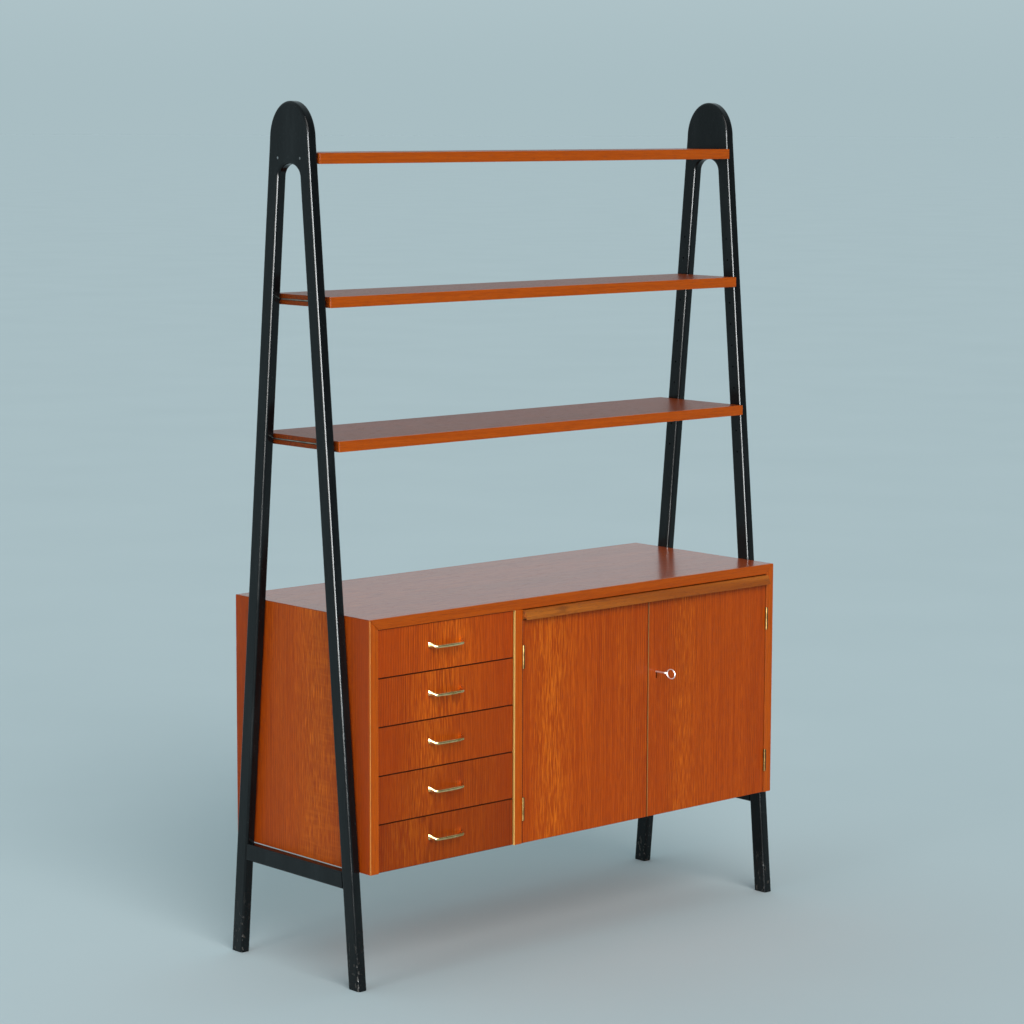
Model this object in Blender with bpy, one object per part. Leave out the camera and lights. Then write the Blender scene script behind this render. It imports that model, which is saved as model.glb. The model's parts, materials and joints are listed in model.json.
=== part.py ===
"""A teak bookcase between two black A-frames: three shelves above a case of drawers and doors.

Metres, +Z up. X runs along the case, with the drawers at -X. The front faces -Y. The origin is on the
floor, midway along the case and midway between the key's bow and the back of the case.
"""

from math import cos, pi, radians, sin

import bmesh
import bpy
from mathutils import Matrix, Vector

for old in list(bpy.data.objects):
    bpy.data.objects.remove(old, do_unlink=True)

# Case
CASE_WIDTH = 1.180
CASE_DEPTH = 0.4445
CASE_BOTTOM = 0.2415
CASE_TOP = 0.7651
PANEL = 0.022
DRAWER_BAY = 0.370
GAP = 0.0003

# Key and lock
KEY_REACH = 0.0575
KEY_X = 0.2210
KEY_Z = 0.5630

# A-frames
FRAME_HEIGHT = 1.7960
LEG_THICK = 0.0225
LEG_WIDTH = 0.0355
LEG_ROUND = 0.0055
FOOT_HALF = 0.2145
LEG_SLOPE = 0.0877
ARCH_Z = 1.6420
ARCH_RISE = 0.0280
HEAD_ROUND_Z = 1.7180
RAIL_HEIGHT = 0.0360

# Shelves: top of the board, front edge behind the case front, depth
SHELF_THICK = 0.022
TOP_SHELF = (1.6925, 0.1530, 0.144)
UPPER_SHELF = (1.4056, 0.1240, 0.190)
LOWER_SHELF = (1.1167, 0.0985, 0.264)
HOLE_PITCH = 0.0482
HOLE_ROWS = 11

# Drawers, doors and the writing leaf
DRAWERS = 5
FRONT_THICK = 0.018
DRAWER_DEPTH = 0.378
PULL_X = -0.3880
PULL_LIFT = 0.0010
DOOR_THICK = 0.020
LEAF_HEIGHT = 0.0193
HINGE_LENGTH = 0.050
HINGE_HEIGHTS = (0.3165, 0.6425)
BARREL = 0.003

# Values that follow
SIDE_X = CASE_WIDTH / 2
FRONT_Y = -(CASE_DEPTH - KEY_REACH) / 2
BACK_Y = FRONT_Y + CASE_DEPTH
FRAME_Y = FRONT_Y + 0.2257
INNER_TOP = CASE_TOP - PANEL
BAY_LEFT = -SIDE_X + PANEL
BAY_RIGHT = BAY_LEFT + DRAWER_BAY
DOOR_LEFT = BAY_RIGHT + PANEL
DOOR_RIGHT = SIDE_X - PANEL
COVERED_Y = FRONT_Y + 0.0240
PANEL_BACK = BACK_Y - 0.0085
BASE_LOW = CASE_BOTTOM + 0.0030
BASE_TOP = BASE_LOW + 0.018
LEAF_TOP = INNER_TOP - 0.0020
LEAF_LOW = LEAF_TOP - LEAF_HEIGHT
DOOR_LOW = CASE_BOTTOM + 0.0003
DOOR_TOP = LEAF_LOW - 0.0015
DOOR_Y = FRONT_Y + 0.0010
MEETING_X = 0.1950
PITCH = (INNER_TOP - CASE_BOTTOM) / DRAWERS

# Drawer boxes, measured up from the foot of each drawer's space
SET_BACK = 0.004
BOX_LOW = 0.0255
BOX_HEIGHT = 0.062
BOX_WALL = 0.012
SIDE_CLEAR = 0.003
RUNNER_Z = BOX_LOW + 0.034
BOX_Y = FRONT_Y + SET_BACK + FRONT_THICK + GAP
BOX_BACK = BOX_Y + DRAWER_DEPTH
FLOOR_LOW = BOX_LOW + 0.006
FLOOR_THICK = 0.004


# ---------------------------------------------------------------- materials


def finish_of(name, colour, roughness, metallic=0.0):
    material = bpy.data.materials.new(name)
    material.use_nodes = True
    shader = material.node_tree.nodes["Principled BSDF"]
    shader.inputs["Base Color"].default_value = (*colour, 1)
    shader.inputs["Roughness"].default_value = roughness
    shader.inputs["Metallic"].default_value = metallic
    return material


TEAK = finish_of("teak", (0.36, 0.10, 0.025), 0.35)
PALE_TEAK = finish_of("pale_teak", (0.50, 0.20, 0.05), 0.40)
BEECH = finish_of("beech", (0.55, 0.36, 0.19), 0.55)
BLACK = finish_of("black_lacquer", (0.012, 0.014, 0.015), 0.25)
BRASS = finish_of("brass", (0.75, 0.55, 0.27), 0.25, 1.0)
STEEL = finish_of("steel", (0.72, 0.70, 0.66), 0.22, 1.0)


# ---------------------------------------------------------------- shaping

AXES = {
    "X": lambda a, b, along: Vector((along, a, b)),
    "Y": lambda a, b, along: Vector((a, along, b)),
    "Z": lambda a, b, along: Vector((a, b, along)),
}


def add_box(bm, low, high):
    """A box between two corners."""
    size = [h - l for l, h in zip(low, high)]
    middle = [(h + l) / 2 for l, h in zip(low, high)]
    place = Matrix.Translation(middle) @ Matrix.Diagonal((*size, 1))
    bmesh.ops.create_cube(bm, size=1, matrix=place)


def add_prism(bm, outline, axis, start, end):
    """An outline, given in the other two axes, drawn out along one axis."""
    spot = AXES[axis]
    face = bm.faces.new([bm.verts.new(spot(a, b, start)) for a, b in outline])
    drawn = bmesh.ops.extrude_face_region(bm, geom=[face])["geom"]
    moved = [item for item in drawn if isinstance(item, bmesh.types.BMVert)]
    bmesh.ops.translate(bm, verts=moved, vec=spot(0, 0, end - start))


def bridge(bm, rings, closed):
    """Skins a row of point rings. An open row gets a flat cap at each end."""
    sides = len(rings[0])
    loops = [[bm.verts.new(point) for point in ring] for ring in rings]
    pairs = list(zip(loops, loops[1:]))
    if closed:
        pairs.append((loops[-1], loops[0]))
    else:
        bm.faces.new(loops[0])
        bm.faces.new(loops[-1])
    for one, two in pairs:
        for i in range(sides):
            j = (i + 1) % sides
            bm.faces.new((one[i], one[j], two[j], two[i]))


def add_turned(bm, profile, axis, centre, sides=8, closed=False):
    """A turned solid: a profile of (radius, place along the axis) about a centre line."""
    spot = AXES[axis]
    a0, b0 = centre
    rings = []
    for radius, along in profile:
        angles = [2 * pi * (i + 0.5) / sides for i in range(sides)]
        rings.append([spot(a0 + radius * cos(t), b0 + radius * sin(t), along) for t in angles])
    bridge(bm, rings, closed)


def add_sweep(bm, path, halves, up, sides=8, closed=False):
    """A rounded bar along a flat path. halves holds its half size along up and across it, at each point."""
    rings = []
    for i, centre in enumerate(path):
        before = path[i - 1] if closed or i else centre
        after = path[(i + 1) % len(path)] if closed or i + 1 < len(path) else centre
        across = up.cross((after - before).normalized())
        tall, thick = halves[i]
        angles = [2 * pi * (k + 0.5) / sides for k in range(sides)]
        rings.append([centre + up * tall * cos(t) + across * thick * sin(t) for t in angles])
    bridge(bm, rings, closed)


def finish(name, bm, material, origin=(0, 0, 0), smooth=False):
    """Closes a shape as a named object, with its own origin."""
    bmesh.ops.recalc_face_normals(bm, faces=bm.faces)
    bmesh.ops.translate(bm, verts=bm.verts, vec=[-v for v in origin])
    mesh = bpy.data.meshes.new(name)
    bm.to_mesh(mesh)
    bm.free()
    mesh.materials.append(material)
    if smooth:
        mesh.shade_smooth()
        mesh.set_sharp_from_angle(angle=radians(40))
    obj = bpy.data.objects.new(name, mesh)
    obj.location = origin
    bpy.context.collection.objects.link(obj)
    return obj


def carve(obj, bm, operation="DIFFERENCE"):
    """Cuts a shape out of an object, or joins it on."""
    word = operation.lower()
    tool = finish(f"{obj.name}_{word}_{len(obj.modifiers) + 1}", bm, obj.data.materials[0])
    tool.hide_render = True
    tool.display_type = "WIRE"
    change = obj.modifiers.new(word, "BOOLEAN")
    change.operation = operation
    change.solver = "EXACT"
    change.object = tool


def settle(obj):
    """Makes an object's cuts and joins part of its mesh, so that copies can share it."""
    graph = bpy.context.evaluated_depsgraph_get()
    settled = bpy.data.meshes.new_from_object(obj.evaluated_get(graph))
    tools = [change.object for change in obj.modifiers]
    obj.modifiers.clear()
    obj.data = settled
    for tool in tools:
        bpy.data.objects.remove(tool, do_unlink=True)


def board(name, low, high, material=TEAK, origin=(0, 0, 0)):
    bm = bmesh.new()
    add_box(bm, low, high)
    return finish(name, bm, material, origin)


# ---------------------------------------------------------------- A-frames


def outer_half(z):
    """Half the frame's depth, to the outer edges of its legs, at a height."""
    return FOOT_HALF - LEG_SLOPE * z


def leg_middle(z, end):
    """The middle of a leg at a height: end is -1 for the front leg and 1 for the rear one."""
    return FRAME_Y + end * (outer_half(z) - LEG_WIDTH / 2)


def rounded_section(x, y, z):
    """The leg's section: a rectangle with rounded corners."""
    points = []
    for corner in range(4):
        turn = corner * pi / 2
        across = 1 if corner in (0, 3) else -1
        along = 1 if corner in (0, 1) else -1
        cx = x + across * (LEG_THICK / 2 - LEG_ROUND)
        cy = y + along * (LEG_WIDTH / 2 - LEG_ROUND)
        for step in range(3):
            t = turn + step * pi / 4
            points.append(Vector((cx + LEG_ROUND * cos(t), cy + LEG_ROUND * sin(t), z)))
    return points


def shelf_hole_heights():
    """Rows of shelf holes, at an even pitch that passes through both wire supports."""
    start = LOWER_SHELF[0] - SHELF_THICK / 2 - 2 * HOLE_PITCH
    return [start + row * HOLE_PITCH for row in range(HOLE_ROWS)]


WIRE_HEIGHTS = (UPPER_SHELF[0] - SHELF_THICK / 2, LOWER_SHELF[0] - SHELF_THICK / 2)
WIRE_ROWS = {2: WIRE_HEIGHTS[1], 8: WIRE_HEIGHTS[0]}


def leg(name, side, end):
    inner = side * SIDE_X
    middle = inner + side * LEG_THICK / 2
    bm = bmesh.new()
    bridge(bm, [rounded_section(middle, leg_middle(z, end), z) for z in (0, ARCH_Z - GAP)], False)
    obj = finish(name, bm, BLACK, smooth=True)
    holes = bmesh.new()
    for row, z in enumerate(shelf_hole_heights()):
        z = WIRE_ROWS.get(row, z)
        spot = (leg_middle(z, end), z)
        add_turned(holes, [(0.0021, inner - side * 0.002), (0.0021, inner + side * 0.012)], "X", spot)
    carve(obj, holes)


def head(name, side):
    """The round top of a frame, with the arch between its legs."""
    base = outer_half(ARCH_Z)
    arch_half = base - LEG_WIDTH
    top_half = outer_half(HEAD_ROUND_Z)
    rise = FRAME_HEIGHT - HEAD_ROUND_Z
    outline = [(FRAME_Y + base, ARCH_Z)]
    for step in range(17):
        t = step * pi / 16
        outline.append((FRAME_Y + top_half * cos(t), HEAD_ROUND_Z + rise * sin(t)))
    outline.append((FRAME_Y - base, ARCH_Z))
    for step in range(11):
        t = pi - step * pi / 10
        outline.append((FRAME_Y + arch_half * cos(t), ARCH_Z + ARCH_RISE * sin(t)))
    bm = bmesh.new()
    inner = side * SIDE_X
    outer = inner + side * LEG_THICK
    add_prism(bm, outline, "X", inner, outer)
    rims = []
    for edge in bm.edges:
        one, two = (v.co for v in edge.verts)
        flat = abs(one.x - two.x) < GAP
        on_joint = max(one.z, two.z) < ARCH_Z + GAP
        if flat and not on_joint:
            rims.append(edge)
    bmesh.ops.bevel(bm, geom=rims, offset=LEG_ROUND * 0.8, segments=2, profile=0.5, affect="EDGES")
    finish(name, bm, BLACK, smooth=True)


def rail(name, side):
    """The cross rail that holds the two legs of a frame apart."""
    top = CASE_BOTTOM - GAP
    low = top - RAIL_HEIGHT
    reach = {z: outer_half(z) - LEG_WIDTH - GAP for z in (low, top)}
    outline = [(FRAME_Y + end * reach[z], z) for end, z in ((-1, low), (1, low), (1, top), (-1, top))]
    bm = bmesh.new()
    inset = 0.0010
    add_prism(bm, outline, "X", side * (SIDE_X + inset), side * (SIDE_X + LEG_THICK - inset))
    level_edges = [e for e in bm.edges if abs(e.verts[0].co.z - e.verts[1].co.z) < GAP]
    long_edges = [e for e in level_edges if e.calc_length() > 0.1]
    bmesh.ops.bevel(bm, geom=long_edges, offset=0.003, segments=1, affect="EDGES")
    finish(name, bm, BLACK)


for side, word in ((-1, "left"), (1, "right")):
    leg(f"{word}_front_leg", side, -1)
    leg(f"{word}_rear_leg", side, 1)
    head(f"{word}_frame_head", side)
    rail(f"{word}_cross_rail", side)


# ---------------------------------------------------------------- open shelves


def shelf_box(shelf, clear):
    top, front, depth = shelf
    low = (-SIDE_X + clear, FRONT_Y + front, top - SHELF_THICK)
    high = (SIDE_X - clear, FRONT_Y + front + depth, top)
    return low, high


def hung_shelf(name, shelf):
    """A shelf whose ends are grooved from the back, to slide onto its wires."""
    low, high = shelf_box(shelf, 0.003)
    obj = board(name, low, high)
    grooves = bmesh.new()
    middle = (low[2] + high[2]) / 2
    front = low[1] + 0.015
    back = high[1] + 0.002
    for side in (-1, 1):
        xs = sorted((side * (SIDE_X + 0.002), side * (SIDE_X - 0.0115)))
        add_box(grooves, (xs[0], front, middle - 0.0022), (xs[1], back, middle + 0.0022))
    carve(obj, grooves)


board("top_shelf", *shelf_box(TOP_SHELF, GAP))
hung_shelf("upper_shelf", UPPER_SHELF)
hung_shelf("lower_shelf", LOWER_SHELF)


def wire_support(name, side, z):
    """A bent wire in the legs' holes, which runs along inside the shelf's end groove."""
    seat = side * (SIDE_X - 0.0062)
    root = side * (SIDE_X + 0.0100)
    bend = 0.0040
    ends = [leg_middle(z, -1), leg_middle(z, 1)]
    path = [Vector((root, ends[0], z))]
    for end, y in zip((1, -1), ends):
        turn = []
        for step in range(4):
            t = step * pi / 6
            turn.append(Vector((seat + side * bend * (1 - sin(t)), y + end * bend * (1 - cos(t)), z)))
        path += turn if end == 1 else turn[::-1]
    path.append(Vector((root, ends[1], z)))
    bm = bmesh.new()
    add_sweep(bm, path, [(0.00175, 0.00175)] * len(path), Vector((0, 0, 1)))
    finish(name, bm, STEEL, smooth=True)


for row, z in zip(("upper", "lower"), WIRE_HEIGHTS):
    for side, word in ((-1, "left"), (1, "right")):
        wire_support(f"{row}_{word}_shelf_wire", side, z)


# ---------------------------------------------------------------- fixed case


def mitred_top():
    outline = [
        (-SIDE_X, CASE_TOP),
        (-SIDE_X + PANEL, INNER_TOP),
        (SIDE_X - PANEL, INNER_TOP),
        (SIDE_X, CASE_TOP),
    ]
    bm = bmesh.new()
    add_prism(bm, outline, "Y", FRONT_Y, BACK_Y)
    finish("case_top", bm, TEAK)


def pin_heights():
    middle = (BASE_TOP + LEAF_LOW) / 2
    return (middle - 0.060, middle, middle + 0.060)


INNER_SHELF_Z = pin_heights()[1] + 0.0029
PIN_Y = (FRONT_Y + 0.070, FRONT_Y + 0.360)


def add_pin_holes(bm, face, into):
    """The spare shelf pin holes in a wall: into is the direction into the wood."""
    for y in PIN_Y:
        for z in pin_heights()[::2]:
            ends = [(0.0029, face - into * 0.002), (0.0029, face + into * 0.0095)]
            add_turned(bm, ends, "X", (y, z))


def add_hinge_pockets(bm, face, into):
    """Shallow pockets for the hinge leaves in a wall or in a door's edge."""
    for z in HINGE_HEIGHTS:
        xs = sorted((face - into * 0.001, face + into * 0.0013))
        reach = HINGE_LENGTH / 2 + GAP
        add_box(bm, (xs[0], FRONT_Y - 0.004, z - reach), (xs[1], FRONT_Y + 0.0193, z + reach))


def case_side(name, side):
    outline = [
        (side * SIDE_X, CASE_BOTTOM),
        (side * SIDE_X, CASE_TOP - 0.0005),
        (side * (SIDE_X - PANEL), INNER_TOP - 0.0005),
        (side * (SIDE_X - PANEL), CASE_BOTTOM),
    ]
    bm = bmesh.new()
    add_prism(bm, outline, "Y", FRONT_Y, BACK_Y)
    return finish(name, bm, TEAK)


def add_runners(bm, wall, out):
    """The strips that a bank of drawers slides on, let into a wall."""
    for number in range(DRAWERS):
        z = CASE_BOTTOM + number * PITCH + RUNNER_Z
        xs = sorted((wall - out * 0.001, wall + out * 0.0095))
        add_box(bm, (xs[0], FRONT_Y + 0.028, z - 0.005), (xs[1], FRONT_Y + 0.415, z + 0.005))


def add_shelf_pins(bm, wall, out):
    """The pins that carry the inner shelf, pressed into a wall."""
    for y in PIN_Y:
        ends = [(0.0025, wall - out * 0.001), (0.0025, wall + out * 0.0090)]
        add_turned(bm, ends, "X", (y, pin_heights()[1]))


def cut_and_join(obj, add_cuts, add_joins, wall, out):
    cuts = bmesh.new()
    for add in add_cuts:
        add(cuts, wall, -out)
    carve(obj, cuts)
    joins = bmesh.new()
    for add in add_joins:
        add(joins, wall, out)
    carve(obj, joins, "UNION")


mitred_top()
left_runners = bmesh.new()
add_runners(left_runners, BAY_LEFT, 1)
carve(case_side("case_left_side", -1), left_runners, "UNION")
right_side = case_side("case_right_side", 1)
cut_and_join(right_side, (add_pin_holes, add_hinge_pockets), (add_shelf_pins,), DOOR_RIGHT, -1)
board(
    "case_bottom",
    (BAY_LEFT + GAP, COVERED_Y, BASE_LOW),
    (DOOR_RIGHT - GAP, PANEL_BACK - GAP, BASE_TOP),
)
board(
    "case_back",
    (BAY_LEFT + GAP, PANEL_BACK, BASE_LOW),
    (DOOR_RIGHT - GAP, BACK_Y - 0.0025, INNER_TOP - GAP),
    BEECH,
)

# The partition reaches the foot of the case in front, and stands on the case bottom behind.
partition_outline = [
    (FRONT_Y, CASE_BOTTOM),
    (COVERED_Y - GAP, CASE_BOTTOM),
    (COVERED_Y - GAP, BASE_TOP + GAP),
    (PANEL_BACK - GAP, BASE_TOP + GAP),
    (PANEL_BACK - GAP, INNER_TOP - GAP),
    (FRONT_Y, INNER_TOP - GAP),
]
partition_bm = bmesh.new()
add_prism(partition_bm, partition_outline, "X", BAY_RIGHT, DOOR_LEFT)
partition = finish("case_partition", partition_bm, TEAK)
cut_and_join(partition, (add_pin_holes, add_hinge_pockets), (add_shelf_pins,), DOOR_LEFT, 1)
right_runners = bmesh.new()
add_runners(right_runners, BAY_RIGHT, -1)
carve(partition, right_runners, "UNION")


# ---------------------------------------------------------------- drawers


def box_side_outline(side):
    """Section of a drawer side, grooved outside for its runner and inside for the drawer's floor."""
    outer = BAY_LEFT + SIDE_CLEAR if side < 0 else BAY_RIGHT - SIDE_CLEAR
    inner = outer - side * BOX_WALL
    top = BOX_LOW + BOX_HEIGHT
    runner_depth = 0.007
    floor_depth = 0.0045
    floor_room = GAP
    outline = [
        (outer, BOX_LOW),
        (inner, BOX_LOW),
        (inner, FLOOR_LOW - floor_room),
        (inner + side * floor_depth, FLOOR_LOW - floor_room),
        (inner + side * floor_depth, FLOOR_LOW + FLOOR_THICK + floor_room),
        (inner, FLOOR_LOW + FLOOR_THICK + floor_room),
        (inner, top),
        (outer, top),
        (outer, RUNNER_Z + 0.0055),
        (outer - side * runner_depth, RUNNER_Z + 0.0055),
        (outer - side * runner_depth, RUNNER_Z - 0.0055),
        (outer, RUNNER_Z - 0.0055),
    ]
    return outline


def drawer_front():
    bm = bmesh.new()
    low = (BAY_LEFT + 0.001, FRONT_Y + SET_BACK, 0.0006)
    high = (BAY_RIGHT - 0.001, FRONT_Y + SET_BACK + FRONT_THICK, PITCH - 0.0006)
    add_box(bm, low, high)
    return finish("drawer_1_front", bm, TEAK)


def drawer_box():
    """Two grooved sides glued to the back. The front closes the box, and the floor slides in behind."""
    bm = bmesh.new()
    add_prism(bm, box_side_outline(-1), "Y", BOX_Y, BOX_BACK)
    box = finish("drawer_1_box", bm, BEECH)
    other_side = bmesh.new()
    add_prism(other_side, box_side_outline(1), "Y", BOX_Y, BOX_BACK)
    carve(box, other_side, "UNION")
    back = bmesh.new()
    lap = 0.004
    low_x = BAY_LEFT + SIDE_CLEAR + BOX_WALL - lap
    high_x = BAY_RIGHT - SIDE_CLEAR - BOX_WALL + lap
    low = (low_x, BOX_BACK - BOX_WALL, FLOOR_LOW + FLOOR_THICK + GAP)
    add_box(back, low, (high_x, BOX_BACK - 0.001, BOX_LOW + BOX_HEIGHT - 0.004))
    carve(box, back, "UNION")
    settle(box)
    return box


def drawer_floor():
    bm = bmesh.new()
    tongue = 0.0040
    low_x = BAY_LEFT + SIDE_CLEAR + BOX_WALL - tongue
    high_x = BAY_RIGHT - SIDE_CLEAR - BOX_WALL + tongue
    add_box(bm, (low_x, BOX_Y, FLOOR_LOW), (high_x, BOX_BACK, FLOOR_LOW + FLOOR_THICK))
    return finish("drawer_1_floor", bm, BEECH)


def drawer_pull():
    """A bow pull: feet fanned upwards against the front, drawn in to a slim bar below their middles."""
    face = FRONT_Y + SET_BACK - GAP
    height = PITCH / 2 + PULL_LIFT
    half = [
        (0.0445, 0.0000, 0.0032, 0.0060, 0.0010),
        (0.0428, 0.0028, 0.0029, 0.0057, 0.0012),
        (0.0405, 0.0075, 0.0020, 0.0047, 0.0016),
        (0.0385, 0.0125, 0.0010, 0.0038, 0.0021),
        (0.0360, 0.0160, 0.0003, 0.0034, 0.0025),
        (0.0320, 0.0178, 0.0000, 0.0032, 0.0026),
        (0.0200, 0.0188, 0.0000, 0.0032, 0.0028),
    ]
    centre_point = (0.0000, 0.0192, 0.0000, 0.0036, 0.0031)
    stations = [(-x, *rest) for x, *rest in half] + [centre_point] + half[::-1]
    path = [Vector((PULL_X + x, face - out, height + rise)) for x, out, rise, tall, thick in stations]
    bm = bmesh.new()
    add_sweep(bm, path, [station[3:] for station in stations], Vector((0, 0, 1)))
    flat = [v for v in bm.verts if v.co.y > face - 0.0015]
    for vert in flat:
        vert.co.y = face
    return finish("drawer_1_pull", bm, BRASS, smooth=True)


first_set = [drawer_front(), drawer_box(), drawer_floor(), drawer_pull()]
for number in range(1, DRAWERS + 1):
    lift = CASE_BOTTOM + (number - 1) * PITCH
    carriage = bpy.data.objects.new(f"drawer_{number}_carriage", None)
    carriage.location = (0, 0, lift)
    bpy.context.collection.objects.link(carriage)
    for piece in first_set:
        if number > 1:
            word = piece.name.split("_")[-1]
            piece = piece.copy()
            piece.name = f"drawer_{number}_{word}"
            bpy.context.collection.objects.link(piece)
        piece.parent = carriage


# ---------------------------------------------------------------- doors

EDGE_CLEAR = 0.0015
LEFT_DOOR = (DOOR_LEFT + EDGE_CLEAR, MEETING_X - 0.00125)
RIGHT_DOOR = (MEETING_X + 0.00125, DOOR_RIGHT - EDGE_CLEAR)
HINGE_Y = DOOR_Y - 0.0035
LEFT_HINGE = (DOOR_LEFT + EDGE_CLEAR / 2, HINGE_Y)
RIGHT_HINGE = (DOOR_RIGHT - EDGE_CLEAR / 2, HINGE_Y)

LOCK_X = (RIGHT_DOOR[0], RIGHT_DOOR[0] + 0.0490)
LOCK_Y = (DOOR_Y + 0.0090, DOOR_Y + DOOR_THICK)
LOCK_Z = (KEY_Z - 0.0320, KEY_Z + 0.0320)
BOLT_Z = (KEY_Z + 0.0115, KEY_Z + 0.0235)
BOLT_Y = (LOCK_Y[0] + 0.0028, LOCK_Y[0] + 0.0083)
KEY_HOLE = 0.0027


def door(name, span, hinge):
    low = (span[0], DOOR_Y, DOOR_LOW)
    high = (span[1], DOOR_Y + DOOR_THICK, DOOR_TOP)
    return board(name, low, high, origin=(*hinge, 0))


def add_keyhole(bm, start, end, drop):
    """A round hole with a slot below it for the bit. The two overlap, so they are joined first."""
    angles = [-pi / 2 + (i + 0.5) * 2 * pi / 12 for i in range(1, 11)]
    outline = [(KEY_X + KEY_HOLE * cos(t), KEY_Z + KEY_HOLE * sin(t)) for t in angles]
    slot = 0.0015
    outline += [(KEY_X - slot, KEY_Z - 0.0022), (KEY_X - slot, KEY_Z - drop)]
    outline += [(KEY_X + slot, KEY_Z - drop), (KEY_X + slot, KEY_Z - 0.0022)]
    add_prism(bm, outline, "Y", start, end)


left_door = door("left_door", LEFT_DOOR, LEFT_HINGE)
left_cuts = bmesh.new()
add_hinge_pockets(left_cuts, LEFT_DOOR[0], 1)
strike_z = (BOLT_Z[0] - 0.012, BOLT_Z[1] + 0.012)
edge = LEFT_DOOR[1]
add_box(
    left_cuts,
    (edge - 0.0018, LOCK_Y[0] - 0.002 - GAP, strike_z[0] - GAP),
    (edge + 0.002, BOLT_Y[1] + 0.0020 + GAP, strike_z[1] + GAP),
)
mortise = bmesh.new()
add_box(
    mortise,
    (edge - 0.0085, BOLT_Y[0] - 0.0008, BOLT_Z[0] - 0.0010),
    (edge - 0.0010, BOLT_Y[1] + 0.0008, BOLT_Z[1] + 0.0010),
)
carve(left_door, left_cuts)
carve(left_door, mortise)

right_door = door("right_door", RIGHT_DOOR, RIGHT_HINGE)
right_cuts = bmesh.new()
add_hinge_pockets(right_cuts, RIGHT_DOOR[1], -1)
add_box(
    right_cuts,
    (LOCK_X[0] - 0.002, LOCK_Y[0] - GAP, LOCK_Z[0] - GAP),
    (LOCK_X[1] + GAP, LOCK_Y[1] + 0.002, LOCK_Z[1] + GAP),
)
keyhole = bmesh.new()
add_keyhole(keyhole, DOOR_Y - 0.002, LOCK_Y[0] + 0.001, 0.0152)
carve(right_door, right_cuts)
carve(right_door, keyhole)


def hinge_leaf(name, hinge, z, out, holds_pin):
    """A hinge leaf. out points from the barrel to the leaf. The case's leaf holds the pin in its two
    outer knuckles, and the door's leaf turns on it with the middle one."""
    half = HINGE_LENGTH / 2
    third = HINGE_LENGTH / 3
    clear = GAP
    xs = sorted((hinge[0] + out * 0.0003, hinge[0] + out * 0.0015))
    plate = bmesh.new()
    add_box(plate, (xs[0], DOOR_Y + 0.0003, z - half), (xs[1], DOOR_Y + 0.0175, z + half))
    obj = finish(name, plate, BRASS, origin=(*hinge, 0))
    if holds_pin:
        spans = ((-half, -third / 2 - clear), (third / 2 + clear, half))
    else:
        spans = ((-third / 2, third / 2),)
    webs = bmesh.new()
    knuckles = bmesh.new()
    for low, high in spans:
        low_web = (xs[0] + 0.0001, hinge[1] + 0.0019, z + low + 0.0002)
        add_box(webs, low_web, (xs[1] - 0.0001, DOOR_Y + 0.0010, z + high - 0.0002))
        if holds_pin:
            add_turned(knuckles, [(BARREL, z + low), (BARREL, z + high)], "Z", hinge, sides=12)
        else:
            ring = [(0.0014, z + low), (BARREL, z + low), (BARREL, z + high), (0.0014, z + high)]
            add_turned(knuckles, ring, "Z", hinge, sides=12, closed=True)
    carve(obj, webs, "UNION")
    carve(obj, knuckles, "UNION")
    if holds_pin:
        pin = bmesh.new()
        reach = third / 2 + 0.003
        add_turned(pin, [(0.0011, z - reach), (0.0011, z + reach)], "Z", hinge, sides=12)
        carve(obj, pin, "UNION")


for word, hinge, out in (("left", LEFT_HINGE, 1), ("right", RIGHT_HINGE, -1)):
    for level, z in zip(("lower", "upper"), HINGE_HEIGHTS):
        hinge_leaf(f"{word}_door_{level}_hinge_leaf", hinge, z, out, False)
        hinge_leaf(f"{word}_case_{level}_hinge_leaf", hinge, z, -out, True)


# ---------------------------------------------------------------- lock and key

WALL = 0.0014
case_bm = bmesh.new()
add_box(
    case_bm,
    (LOCK_X[0] + GAP, LOCK_Y[0], LOCK_Z[0]),
    (LOCK_X[1], LOCK_Y[1] - GAP, LOCK_Z[1]),
)
lock_case = finish("lock_case", case_bm, STEEL)
hollow = bmesh.new()
add_box(
    hollow,
    (LOCK_X[0] + GAP + WALL, LOCK_Y[0] + WALL, LOCK_Z[0] + WALL),
    (LOCK_X[1] - WALL, LOCK_Y[1] - GAP - WALL, LOCK_Z[1] - WALL),
)
carve(lock_case, hollow)
bolt_slot = bmesh.new()
add_box(
    bolt_slot,
    (LOCK_X[0] - 0.002, BOLT_Y[0] - 0.0004, BOLT_Z[0] - 0.0004),
    (LOCK_X[0] + GAP + WALL + 0.001, BOLT_Y[1] + 0.0004, BOLT_Z[1] + 0.0004),
)
carve(lock_case, bolt_slot)
case_keyhole = bmesh.new()
add_keyhole(case_keyhole, LOCK_Y[0] - 0.001, LOCK_Y[0] + WALL + 0.001, 0.0115)
carve(lock_case, case_keyhole)

board(
    "lock_bolt",
    (LOCK_X[0] + 0.0005, BOLT_Y[0], BOLT_Z[0]),
    (LOCK_X[0] + 0.0400, BOLT_Y[1], BOLT_Z[1]),
    STEEL,
)

strike_bm = bmesh.new()
add_box(
    strike_bm,
    (edge - 0.0015, LOCK_Y[0] - 0.002, strike_z[0]),
    (edge - 0.0002, BOLT_Y[1] + 0.0020, strike_z[1]),
)
strike = finish("lock_strike", strike_bm, STEEL)
strike_slot = bmesh.new()
add_box(
    strike_slot,
    (edge - 0.003, BOLT_Y[0] - 0.0006, BOLT_Z[0] - 0.0008),
    (edge + 0.001, BOLT_Y[1] + 0.0006, BOLT_Z[1] + 0.0008),
)
carve(strike, strike_slot)

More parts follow.
